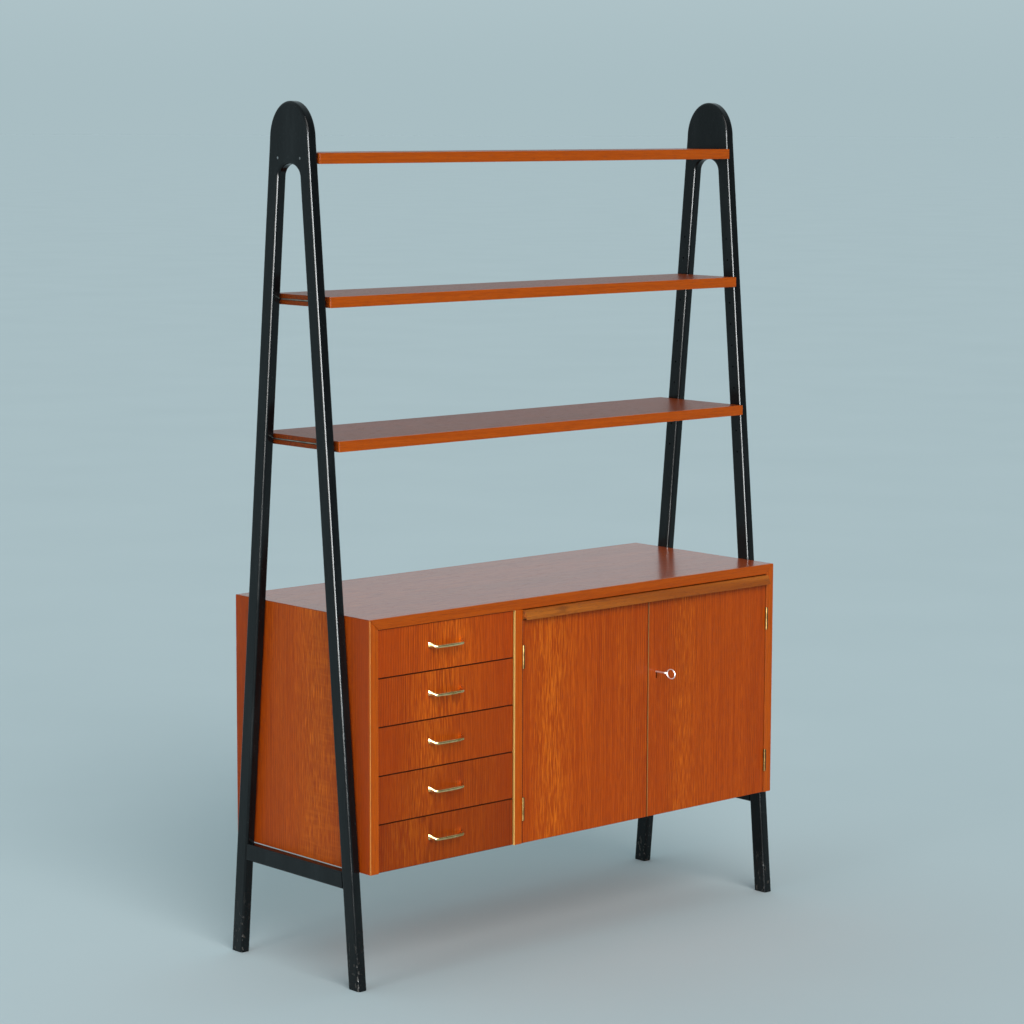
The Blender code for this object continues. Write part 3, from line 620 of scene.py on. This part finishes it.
def screw_head(name, place, way, radius, turn):
    """A screw head flush with a face: way is the direction out of the face."""
    place, way = Vector(place), Vector(way)
    piece = rod(name, place - way * 0.0012, place, radius, 20)
    ease(piece, radius * 0.10, 2)
    slot = block("slot", (-radius * 1.2, -radius * 0.13, -0.0005), (radius * 1.2, radius * 0.13, 0.0004))
    facing = way.to_track_quat("Z", "Y").to_matrix().to_4x4()
    slot.matrix_world = Matrix.Translation(place) @ facing @ Matrix.Rotation(turn, 4, "Z")
    alone(slot)
    bpy.ops.object.transform_apply(location=True, rotation=True, scale=True)
    cut(piece, slot)
    smooth(piece)
    return piece


# The heads of the frames are screwed to the ends of the top shelf, two steel screws each, set just below the
# face and painted over so thinly that they show grey.

PAINTED = metal("painted_steel", (0.30, 0.32, 0.33), (0.11, 0.12, 0.125), 0.30, 0.45)
for side, word in ((-1, "left"), (1, "right")):
    outer = side * (SIDE_X + LEG_THICK)
    screws = []
    for end in (-1, 1):
        spot = (outer - side * SCREW_SINK, FRAME_Y + end * SCREW_HALF, SCREW_Z)
        screws.append(screw_head("screw", spot, (side, 0, 0), SCREW_RADIUS, 0.6 + end * 0.9 + side))
    piece = gather(f"{word}_head_screws", screws)
    wear(piece, PAINTED)
    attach(piece, "case_and_frames")

# A nylon glide is nailed under each foot.

material, shader, place = finish("glide_nylon")
scratches = place.spots((300, 300, 300), 3.0)
feed(shader, "Base Color", scratches.mix((0.46, 0.44, 0.38), (0.20, 0.19, 0.17)))
feed(shader, "Roughness", 0.42 + scratches * 0.3)
bump(shader, scratches, 0.0001)
GLIDE_RADIUS, GLIDE_TALL = 0.0085, 0.0030
glides = []
for side in (-1, 1):
    for end in (-1, 1):
        x = side * (SIDE_X + LEG_THICK / 2)
        y = FRAME_Y + end * (FOOT_HALF - LEG_WIDTH / 2)
        glide = rod("glide", (x, y, 0.0), (x, y, GLIDE_TALL), GLIDE_RADIUS, 24)
        ease(glide, 0.0007, 2)
        glides.append(glide)
piece = gather("foot_glides", glides)
smooth(piece)
wear(piece, material)
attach(piece, "case_and_frames")

# ================================================================ drawers
# Five alike: a veneered front, two grooved beech sides rebated into a beech back, and a thin plywood floor
# slid in from behind. The sides run on beech strips screwed to the case.

BEECH = plain_wood("beech_along_y", "Y", (0.62, 0.400, 0.215), (0.47, 0.270, 0.125))
THIN_PLY = ((0.55, 0.330, 0.170), (0.42, 0.220, 0.100))
FLOOR_WOOD = plain_wood("drawer_plywood", "X", *THIN_PLY, (700, 700, 30), 0.6)
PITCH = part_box("drawer_2_front")[0].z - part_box("drawer_1_front")[0].z
DRAWERS = 5


def copied(piece, name, offset):
    """A copy with its own mesh, set at an offset."""
    alone(piece)
    bpy.ops.object.duplicate_move(
        OBJECT_OT_duplicate={"linked": False}, TRANSFORM_OT_translate={"value": offset}
    )
    return named(name)


def refined(node, name, radius):
    """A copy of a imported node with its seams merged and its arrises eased."""
    alone(frame["nodes"][node])
    bpy.ops.object.duplicate(linked=False)
    piece = bpy.context.object
    piece.parent = None
    for key in list(piece.keys()):
        del piece[key]
    choose(piece, "FACE", lambda middle, way: True)
    bpy.ops.mesh.remove_doubles(threshold=0.00001)
    bpy.ops.mesh.dissolve_limited(angle_limit=radians(2))
    close()
    ease(piece, radius, 2)
    smooth(piece)
    piece.name = name
    piece.data.name = name
    return piece


def ring_at(place, across, up, wide, tall, sides):
    """An oval outline about a place, in the plane of two directions."""
    bpy.ops.object.select_all(action="DESELECT")
    turn = Matrix((across, up, across.cross(up))).transposed().to_euler()
    bpy.ops.mesh.primitive_circle_add(vertices=sides, radius=1, location=place, rotation=turn)
    bpy.context.object.scale = (wide, tall, 1)
    return named("ring")


def loft(name, path, halves, up, sides=20):
    """A bar along a flat path. halves holds its half size across the path and along up at each point."""
    rings = []
    for i, place in enumerate(path):
        ahead = path[min(i + 1, len(path) - 1)] - path[max(i - 1, 0)]
        rings.append(ring_at(place, up.cross(ahead.normalized()), up, *halves[i], sides))
    piece = gather(name, rings)
    choose(piece, "EDGE", lambda middle, way: True)
    bpy.ops.mesh.bridge_edge_loops()
    bpy.ops.mesh.select_all(action="SELECT")
    bpy.ops.mesh.fill_holes(sides=0)
    bpy.ops.mesh.normals_make_consistent(inside=False)
    close()
    return piece


for number in range(1, DRAWERS + 1):
    low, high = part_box(f"drawer_{number}_front")
    piece = block(f"drawer_{number}_face", low, high)
    ease(piece, FINE_ARRIS)
    smooth(piece)
    from_middle = number - (DRAWERS + 1) // 2
    shift = 0.03 * from_middle
    grown = {"heart": shift, "deep": 0.045, "gold": 0.35, "glow": (-0.05 + shift, 0.10), "flush": 0.55}
    # Painted shade: a dark line round each front for its gaps. Painted light: each drawer's teak is a tenth
    # lighter than the one below, as the light falls from above.
    grown |= {"grime": 0.0011, "tone": 0.99 + 0.10 * from_middle, "seed": 50.0 + number}
    wear(piece, teak(f"teak_drawer_{number}", (low, high), "Z", "X", **grown))
    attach(piece, f"drawer_{number}")
    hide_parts(f"drawer_{number}_front")

    piece = refined(f"drawer_{number}_box", f"drawer_{number}_sides", FINE_ARRIS)
    wear(piece, BEECH)
    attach(piece, f"drawer_{number}")
    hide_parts(f"drawer_{number}_box")
    frame["nodes"][f"drawer_{number}_floor"].data.materials.clear()
    frame["nodes"][f"drawer_{number}_floor"].data.materials.append(FLOOR_WOOD)

# ---------------------------------------------------------------- drawer runners
# Hard beech strips, their front ends sanded round, glued and screwed along both walls of the bay.

BAY_LEFT = -SIDE_X + PANEL
RUNNER_HALF, RUNNER_OUT, RUNNER_LIFT = 0.005, 0.0095, 0.0595
RUNNER_START, RUNNER_STOP = FRONT_Y + 0.028, FRONT_Y + 0.415
for wall, out, word in ((BAY_LEFT, 1, "left"), (BAY_RIGHT, -1, "right")):
    strips = []
    for number in range(DRAWERS):
        z = CASE_FOOT + number * PITCH + RUNNER_LIFT
        xs = sorted((wall, wall + out * RUNNER_OUT))
        start, stop = (xs[0], RUNNER_START, z - RUNNER_HALF), (xs[1], RUNNER_STOP, z + RUNNER_HALF)
        strip = block("strip", start, stop)
        ease(strip, 0.0012, 3)
        strips.append(strip)
    piece = gather(f"{word}_drawer_runners", strips)
    smooth(piece)
    wear(piece, BEECH)
    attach(piece, "case_and_frames")

# ---------------------------------------------------------------- drawer pulls
# A cast brass bow: each end is fanned upwards, flat against the front, and drawn in to a slim bar that hangs
# below the middle of its feet. Two screws from inside the drawer hold it.

# Half of the bow, from its end inwards: how far along, out and up, and half its thickness and its height.
PULL_HALF = [
    (0.0445, 0.0000, 0.0032, 0.0009, 0.0060),
    (0.0436, 0.0014, 0.0031, 0.0011, 0.0059),
    (0.0424, 0.0034, 0.0028, 0.0013, 0.0056),
    (0.0405, 0.0075, 0.0020, 0.0017, 0.0048),
    (0.0387, 0.0120, 0.0011, 0.0021, 0.0040),
    (0.0372, 0.0148, 0.0005, 0.0024, 0.0035),
    (0.0350, 0.0166, 0.0001, 0.0025, 0.0033),
    (0.0310, 0.0178, 0.0000, 0.0026, 0.0031),
    (0.0190, 0.0188, 0.0000, 0.0028, 0.0032),
    (0.0080, 0.0191, 0.0000, 0.0030, 0.0035),
]
pull_low, pull_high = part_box("drawer_1_pull")
pull_x = (pull_low.x + pull_high.x) / 2
BAR_LIFT = 0.0036
pull_z = pull_low.z + BAR_LIFT
pull_y = pull_high.y
stations = [(-x, *rest) for x, *rest in PULL_HALF] + PULL_HALF[::-1]
path = [Vector((pull_x + x, pull_y - out, pull_z + rise)) for x, out, rise, thick, tall in stations]
first_pull = loft("drawer_1_bow", path, [station[3:] for station in stations], Vector((0, 0, 1)), 20)
choose(first_pull, "FACE", lambda middle, way: True)
bpy.ops.mesh.bisect(plane_co=(0, pull_y, 0), plane_no=(0, 1, 0), use_fill=True, clear_outer=True)
close()
smooth(first_pull, 50)
wear(first_pull, BRASS)
pulls = [first_pull]
for number in range(2, DRAWERS + 1):
    pulls.append(copied(first_pull, f"drawer_{number}_bow", (0, 0, (number - 1) * PITCH)))
for number, piece in enumerate(pulls, 1):
    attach(piece, f"drawer_{number}")
    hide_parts(f"drawer_{number}_pull")

# ================================================================ doors
# Two flat veneered doors, lipped all round, hang on brass butt hinges let into their edges, and shut side by
# side below the writing leaf. The right one has the lock and holds the left one shut with its bolt.

hinge_spots = {joint["name"]: Vector(joint["pos_m"]) for joint in frame["joints"] if "pos_m" in joint}
case_plates = [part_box(f"left_case_{level}_hinge_leaf") for level in ("lower", "upper")]
HINGE_Z = [(low.z + high.z) / 2 for low, high in case_plates]
plate_low, plate_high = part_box("left_case_lower_hinge_leaf")
HINGE_LONG = plate_high.z - plate_low.z
PLATE_BACK = plate_high.y
LEAF_SINK = 0.0013
BED_ROOM = 0.0008
lock_low, lock_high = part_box("lock_case")
key_spot = hinge_spots["key_turn"]
KEY_HOLE = 0.0027
SLOT_HALF, SLOT_DROP = 0.0015, 0.0152


def sink_hinges(piece, edge, into):
    """Cuts the shallow beds of two hinge leaves into an edge."""
    for z in HINGE_Z:
        xs = sorted((edge - into * 0.002, edge + into * LEAF_SINK))
        reach = HINGE_LONG / 2 + GAP
        start, stop = (xs[0], FRONT_Y - 0.004, z - reach), (xs[1], PLATE_BACK + BED_ROOM, z + reach)
        cut(piece, block("bed", start, stop))


def keyhole(name, start_y, end_y):
    """A round hole with a slot under it for the bit."""
    tool = rod(name, (key_spot.x, start_y, key_spot.z), (key_spot.x, end_y, key_spot.z), KEY_HOLE, 20)
    low = (key_spot.x - SLOT_HALF, start_y, key_spot.z - SLOT_DROP)
    slot = block("slot", low, (key_spot.x + SLOT_HALF, end_y, key_spot.z))
    cut(tool, slot, "UNION")
    return tool


door_low, door_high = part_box("left_door")
left = block("left_door_panel", door_low, door_high)
ease(left, ARRIS)
sink_hinges(left, door_low.x, 1)
strike_low, strike_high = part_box("lock_strike")
bolt_low, bolt_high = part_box("lock_bolt")
room = Vector((GAP, GAP, GAP))
cut(left, block("strike_bed", strike_low - room, strike_high + room + Vector((0.002, 0, 0))))
start = (strike_low.x - 0.007, bolt_low.y - 0.0008, bolt_low.z - 0.001)
cut(left, block("mortise", start, (strike_high.x, bolt_high.y + 0.0008, bolt_high.z + 0.001)))
smooth(left)
grown = {"heart": -0.01, "deep": 0.012, "taper": 0.10, "gold": 0.6, "glow": (-0.10, 0.10), "flush": 0.2}
# A line of painted shade round the door's edges, for the gaps.
grown |= {"grime": 0.0008, "tone": 1.12, "seed": 71.0}
wear(left, teak("teak_left_door", (door_low, door_high), "Z", "X", **grown))
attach(left, "left_door")
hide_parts("left_door")

door_low, door_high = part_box("right_door")
right_panel = block("right_door_panel", door_low, door_high)
ease(right_panel, ARRIS)
sink_hinges(right_panel, door_high.x, -1)
start = (door_low.x - 0.002, lock_low.y - GAP, lock_low.z - GAP)
cut(right_panel, block("lock_pocket", start, lock_high + Vector((GAP, 0.004, GAP))))
cut(right_panel, keyhole("keyhole", door_low.y - 0.002, lock_low.y + 0.001))
smooth(right_panel)
grown = {"heart": 0.02, "deep": 0.014, "taper": -0.09, "gold": 0.5, "glow": (-0.085, 0.07), "flush": 0.3}
# Painted shade round the door's edges for the gaps and inside the keyhole, and a painted highlight down its
# left edge at the meeting gap.
grown |= {"grime": 0.0008, "tone": 1.08, "seed": 83.0}
grown |= {"worn": ("X", -1, 0.0012, 0.35), "bored": (key_spot, 0.018)}
wear(right_panel, teak("teak_right_door", (door_low, door_high), "Z", "X", **grown))
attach(right_panel, "right_door")
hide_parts("right_door")

# ---------------------------------------------------------------- hinges
# Drawn brass butts, 50 mm. The case's leaf keeps the pin in its two outer knuckles, and the door's leaf
# turns on it with the middle one. Three countersunk screws hold each leaf.

BARREL = plate_high.x - hinge_spots["left_door_hinge"].x
LEAF_NEAR, LEAF_FAR, LEAF_START, NOTCH_DEEP = 0.0003, 0.0015, 0.0019, 0.0048
SCREW_IN, SCREW_APART, HINGE_SCREW = 0.0058, HINGE_LONG * 0.34, 0.0021
for word, out in (("left", 1), ("right", -1)):
    hinge = hinge_spots[f"{word}_door_hinge"]
    for level, z in zip(("lower", "upper"), HINGE_Z):
        half, third = HINGE_LONG / 2, HINGE_LONG / 6
        for owner, way, spans in (
            ("door", out, [(-third, third)]),
            ("case", -out, [(-half, -third - GAP), (third + GAP, half)]),
        ):
            xs = sorted((hinge.x + way * LEAF_NEAR, hinge.x + way * LEAF_FAR))
            plate = block("plate", (xs[0], hinge.y + LEAF_START, z - half), (xs[1], PLATE_BACK, z + half))
            notches = [(-half, -third), (third, half)] if owner == "door" else [(-third, third)]
            for low, high in notches:
                start = (xs[0] - 0.001, hinge.y - 0.001, z + low - GAP)
                cut(plate, block("notch", start, (xs[1] + 0.001, hinge.y + NOTCH_DEEP, z + high + GAP)))
            ease(plate, 0.00025, 2)
            parts = [plate]
            for low, high in spans:
                start, stop = (hinge.x, hinge.y, z + low), (hinge.x, hinge.y, z + high)
                knuckle = rod("knuckle", start, stop, BARREL, 28)
                ease(knuckle, 0.0003, 2)
                parts.append(knuckle)
            for step in (-1, 0, 1):
                spot = (hinge.x + way * LEAF_NEAR, PLATE_BACK - SCREW_IN, z + step * SCREW_APART)
                parts.append(screw_head("screw", spot, (-way, 0, 0), HINGE_SCREW, 0.5 + step + z))
            piece = gather(f"{word}_{level}_hinge_on_{owner}", parts)
            smooth(piece)
            wear(piece, AGED_BRASS)
            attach(piece, f"{word}_door" if owner == "door" else "case_and_frames")
            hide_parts(f"{word}_{owner}_{level}_hinge_leaf")

# ---------------------------------------------------------------- lock
# A small steel cupboard lock let into the back of the right door, four screws through its plate, with a
# bolt that shoots left into the strike plate on the other door's edge.

for node, name, body in (
    ("lock_case", "lock_body", "right_door"),
    ("lock_bolt", "lock_tongue", "lock_bolt"),
    ("lock_strike", "lock_keep", "left_door"),
):
    piece = refined(node, name, 0.00025)
    wear(piece, NICKEL)
    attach(piece, body)
    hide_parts(node)
INSET, LOCK_SCREW = 0.0050, 0.0024
screws = []
for x in (lock_low.x + INSET, lock_high.x - INSET):
    for z in (lock_low.z + INSET, lock_high.z - INSET):
        screws.append(screw_head("screw", (x, lock_high.y + GAP, z), (0, 1, 0), LOCK_SCREW, 3 * x + 9 * z))
piece = gather("lock_screws", screws)
wear(piece, NICKEL)
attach(piece, "right_door")

# ---------------------------------------------------------------- key
# A nickelled cabinet key: an oval bow cast on a round shank with two collars, and a flat bit below its tip.

key_low, key_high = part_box("key")
WIRE, BOW_LONG, SHANK_RADIUS, COLLAR_LONG = 0.0016, 0.0265, 0.0021, 0.0016
bow_back = key_low.y + BOW_LONG
bow_y = (key_low.y + bow_back) / 2
tip_y = key_high.y
bow_half = (bow_back - key_low.y) / 2 - WIRE
bow_tall = key_high.z - key_spot.z - WIRE
bpy.ops.object.select_all(action="DESELECT")
bpy.ops.mesh.primitive_torus_add(
    major_segments=48, minor_segments=14, major_radius=bow_half, minor_radius=WIRE,
    location=(key_spot.x, bow_y, key_spot.z), rotation=(0, pi / 2, 0),
)
bow = named("bow")
choose(bow, "FACE", lambda middle, way: True)
bpy.ops.transform.resize(
    value=(0.85, 1, (bow_tall + WIRE) / (bow_half + WIRE)), center_override=(key_spot.x, bow_y, key_spot.z)
)
close()
start, stop = (key_spot.x, bow_back - 0.0010, key_spot.z), (key_spot.x, tip_y, key_spot.z)
shank = rod("shank", start, stop, SHANK_RADIUS, 28)
ease(shank, 0.0004)
collars = []
for behind, radius in ((0.0016, 0.0030), (0.0044, 0.0027)):
    y = bow_back + behind
    start, stop = (key_spot.x, y, key_spot.z), (key_spot.x, y + COLLAR_LONG, key_spot.z)
    collar = rod("collar", start, stop, radius, 28)
    ease(collar, FINE_ARRIS)
    collars.append(collar)
BIT_HALF, BIT_LONG, WARD_NEAR, WARD_FAR, WARD_TALL = 0.0009, 0.0065, 0.0042, 0.0030, 0.0030
start = (key_spot.x - BIT_HALF, tip_y - BIT_LONG, key_low.z)
bit = block("bit", start, (key_spot.x + BIT_HALF, tip_y - 0.0005, key_spot.z - 0.001))
start = (key_spot.x - 0.002, tip_y - WARD_NEAR, key_low.z - 0.001)
cut(bit, block("ward", start, (key_spot.x + 0.002, tip_y - WARD_FAR, key_low.z + WARD_TALL)))
ease(bit, 0.0002, 2)
piece = gather("key_and_bow", [bow, shank, bit] + collars)
smooth(piece, 45)
wear(piece, NICKEL)
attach(piece, "key")
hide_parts("key")

# ================================================================ writing leaf
# A thin veneered board that slides out over the doors on two beech strips. Its grip is a length of paler
# solid teak that leans out to its lower lip and is hollowed underneath for the fingers.

board_low, board_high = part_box("leaf_board")
piece = block("leaf_panel", board_low, board_high)
ease(piece, FINE_ARRIS)
smooth(piece)
wear(piece, teak("teak_leaf", (board_low, board_high), "X", "Y", 0.02, 0.05, 0.04, seed=91.0, gold=0.7))
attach(piece, "writing_leaf")
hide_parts("leaf_board")

grip_low, grip_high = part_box("leaf_grip")
LEAN, HOLLOW_RADIUS = 0.0080, 0.0048
piece = block("leaf_handle", grip_low, grip_high)
near_top = grip_high.z - 0.001
choose(piece, "EDGE", lambda middle, way: abs(way.x) > 0.9 and middle.z > near_top and middle.y < FRONT_Y)
bpy.ops.transform.translate(value=(0, LEAN, 0))
close()
hollow_y = grip_low.y + 0.0078
hollow_z = grip_low.z - 0.0008
start, stop = (grip_low.x - 0.01, hollow_y, hollow_z), (grip_high.x + 0.01, hollow_y, hollow_z)
cut(piece, rod("hollow", start, stop, HOLLOW_RADIUS, 32))
ease(piece, 0.0010)
smooth(piece)
GRIP_TONES = ((0.54, 0.150, 0.012), (0.35, 0.078, 0.005))


def grip_teak():
    material, shader, place = finish("pale_teak")
    parts = {"X": place.axis("Y"), "Y": place.axis("Z"), "Z": place.axis("X")}
    grain = place.add("ShaderNodeCombineXYZ", None, parts)
    bands = grain.spots((60, 60, 1.6), 3.0, 4.0)
    streak = grain.spots((420, 420, 9), 3.0, 8.0)
    pores = grain.spots((1500, 1500, 60), 1.0, 12.0).between(0.58, 0.68)
    dark = grain.spots((40, 40, 14), 2.0, 16.0).between(0.62, 0.74)
    colour = bands.between(0.3, 0.7).mix(*GRIP_TONES)
    colour = (dark * 0.5).mix(colour, (0.18, 0.040, 0.006))
    feed(shader, "Base Color", colour.dimmed((0.78 + streak * 0.44) * (1 - pores * 0.35)))
    feed(shader, "Roughness", 0.38 + streak * 0.12 + pores * 0.15)
    shader.inputs["Specular IOR Level"].default_value = 0.22
    bump(shader, streak * 0.5 - pores, 0.00009)
    return material


wear(piece, grip_teak())
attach(piece, "writing_leaf")
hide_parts("leaf_grip")

for word in ("left", "right"):
    low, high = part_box(f"{word}_leaf_runner")
    piece = block(f"{word}_leaf_bearer", low, high)
    ease(piece, 0.0010, 3)
    smooth(piece)
    wear(piece, BEECH)
    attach(piece, "case_and_frames")
    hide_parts(f"{word}_leaf_runner")

# ---------------------------------------------------------------- inner shelf
# One loose veneered shelf behind the doors, on four turned brass pins pressed into holes in the walls.

low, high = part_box("inner_shelf")
piece = block("cupboard_shelf", low, high)
ease(piece, FINE_ARRIS)
smooth(piece)
wear(piece, teak("teak_cupboard_shelf", (low, high), "X", "Y", 0.04, 0.05, 0.03, seed=97.0, tone=0.95))
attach(piece, "inner_shelf")
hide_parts("inner_shelf")

PIN_RADIUS, PIN_OUT, PIN_DROP = 0.0025, 0.0090, 0.0004
PIN_NEAR, PIN_FAR = FRONT_Y + 0.070, FRONT_Y + 0.360
pins = []
for wall, out in ((DOOR_LEFT, 1), (SIDE_X - PANEL, -1)):
    for y in (PIN_NEAR, PIN_FAR):
        z = low.z - PIN_DROP - PIN_RADIUS
        pin = rod("pin", (wall - out * 0.002, y, z), (wall + out * PIN_OUT, y, z), PIN_RADIUS, 20)
        ease(pin, 0.0005, 2)
        pins.append(pin)
piece = gather("shelf_pins", pins)
smooth(piece)
wear(piece, BRASS)
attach(piece, "case_and_frames")

# ================================================================ open shelves
# Solid-lipped veneered boards. The top one is screwed between the heads. The others are grooved in both ends
# from the back, and slide onto bent steel wires whose tips sit in the legs' holes.

GROOVE_DEEP, GROOVE_HALF, GROOVE_STOP = 0.0085, 0.0022, 0.015
for node, name, body, seed in (
    ("top_shelf", "top_shelf_board", "case_and_frames", 101.0),
    ("upper_shelf", "upper_shelf_board", "upper_shelf", 103.0),
    ("lower_shelf", "lower_shelf_board", "lower_shelf", 107.0),
):
    low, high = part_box(node)
    piece = block(name, low, high)
    ease(piece, 0.0010)
    if body != "case_and_frames":
        middle_z = (low.z + high.z) / 2
        for x0, x1 in ((low.x - 0.01, low.x + GROOVE_DEEP), (high.x - GROOVE_DEEP, high.x + 0.01)):
            start = (x0, low.y + GROOVE_STOP, middle_z - GROOVE_HALF)
            cut(piece, block("groove", start, (x1, high.y + 0.01, middle_z + GROOVE_HALF)))
    smooth(piece)
    grown = {"tone": 0.86, "seed": seed, "lip": lip, "shade": 0.55}
    wear(piece, teak(f"teak_{node}", (low, high), "X", "Y", 0.02, 0.05, **grown))
    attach(piece, body)
    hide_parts(node)

WIRE_HALF, BEND, WIRE_SEAT, WIRE_TIP = 0.00175, 0.0040, 0.0062, 0.0100
for row, z in zip(("lower", "upper"), wire_z):
    for side, word in ((-1, "left"), (1, "right")):
        seat = side * (SIDE_X - WIRE_SEAT)
        root = side * (SIDE_X + WIRE_TIP)
        y = outer_half(z) - LEG_WIDTH / 2
        ends = (FRAME_Y - y, FRAME_Y + y)
        path = [Vector((root, ends[0], z))]
        for end, place_y in zip((1, -1), ends):
            bend = []
            for step in range(7):
                t = step * pi / 12
                x = seat + side * BEND * (1 - sin(t))
                bend.append(Vector((x, place_y + end * BEND * (1 - cos(t)), z)))
            path += bend if end == 1 else bend[::-1]
        path.append(Vector((root, ends[1], z)))
        piece = loft(f"{row}_{word}_wire", path, [(WIRE_HALF, WIRE_HALF)] * len(path), Vector((0, 0, 1)), 14)
        smooth(piece, 60)
        wear(piece, WIRE_STEEL)
        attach(piece, "case_and_frames")
        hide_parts(f"{row}_{word}_shelf_wire")

# ================================================================ floor, light and camera
# A pale floor that runs out of sight into a pale surround, which dims towards the viewer. The light is a wide
# soft sun from the front left and a tall window at the left. Two bright boxes only line arrises and metal.

bpy.ops.object.select_all(action="DESELECT")
bpy.ops.mesh.primitive_plane_add(size=400, location=(0, 0, 0))
floor = named("floor")
material, shader, place = finish("pale_floor")
mottle = place.spots((1.2, 1.2, 1.2), 3.0)
feed(shader, "Base Color", mottle.mix((0.54, 0.63, 0.66), (0.58, 0.67, 0.70)))
shader.inputs["Roughness"].default_value = 1.0
shader.inputs["Specular IOR Level"].default_value = 0.0
wear(floor, material)

world = bpy.data.worlds.new("pale_surround")
world.use_nodes = True
way = Value(world.node_tree).add("ShaderNodeTexCoord", take="Generated")
pale = way.axis("Z").between(0.0, 0.12).mix((0.396, 0.512, 0.546), (0.52, 0.64, 0.67))
around = way.axis("Y").between(-0.75, 0.15).mix((0.16, 0.17, 0.18), pale)
feed_to = world.node_tree.nodes["Background"].inputs["Color"]
world.node_tree.links.new(around.socket, feed_to)
bpy.context.scene.world = world


def lamp(name, light, place, aim, power, colour):
    """Hangs a light at a place and turns it to another."""
    light.energy = power
    light.color = colour
    hung = bpy.data.objects.new(name, light)
    hung.location = place
    hung.rotation_euler = (Vector(aim) - Vector(place)).to_track_quat("-Z", "Y").to_euler()
    bpy.context.collection.objects.link(hung)


def soft_box(name, size):
    light = bpy.data.lights.new(name, "AREA")
    light.shape = "RECTANGLE"
    light.size, light.size_y = size
    return light


sun = bpy.data.lights.new("soft_sun", "SUN")
sun.angle = radians(40)
lamp("soft_sun", sun, (-1.6, -4.2, 3.4), (0, 0, 0.4), 1.7, (1.0, 0.985, 0.96))
window = soft_box("window_light", (1.1, 2.8))
lamp("window_light", window, (-4.6, -0.5, 1.45), (0, -0.1, 0.9), 26, (0.95, 0.98, 1.0))
strip = soft_box("strip_light", (2.2, 3.4))
lamp("strip_light", strip, (-6.4, -4.6, 1.75), (0, 0, 0.9), 1500, (0.93, 0.98, 1.0))
glint = soft_box("glint_light", (2.4, 2.0))
lamp("glint_light", glint, (-5.6, -1.2, 1.0), (0, -0.2, 0.5), 330, (1.0, 0.98, 0.95))
for name in ("strip_light", "glint_light"):
    bpy.data.objects[name].visible_diffuse = False

CAMERA_PLACE = Vector((-4.4253, -4.8480, 1.7815))
CAMERA_YAW, CAMERA_PITCH, CAMERA_ROLL = radians(42.183), radians(7.5294), radians(0.1829)
ahead = Vector((sin(CAMERA_YAW) * cos(CAMERA_PITCH), cos(CAMERA_YAW) * cos(CAMERA_PITCH), -sin(CAMERA_PITCH)))
level = Vector((cos(CAMERA_YAW), -sin(CAMERA_YAW), 0))
upright = level.cross(ahead)
right = level * cos(CAMERA_ROLL) + upright * sin(CAMERA_ROLL)
up = upright * cos(CAMERA_ROLL) - level * sin(CAMERA_ROLL)
lens = bpy.data.cameras.new("camera")
lens.lens = 107.29
lens.sensor_width = 36
lens.clip_end = 200
camera = bpy.data.objects.new("camera", lens)
turn = Matrix((right, up, -ahead)).transposed().to_4x4()
camera.matrix_world = Matrix.Translation(CAMERA_PLACE) @ turn
bpy.context.collection.objects.link(camera)
bpy.context.scene.camera = camera
bpy.context.scene.view_settings.view_transform = "Standard"
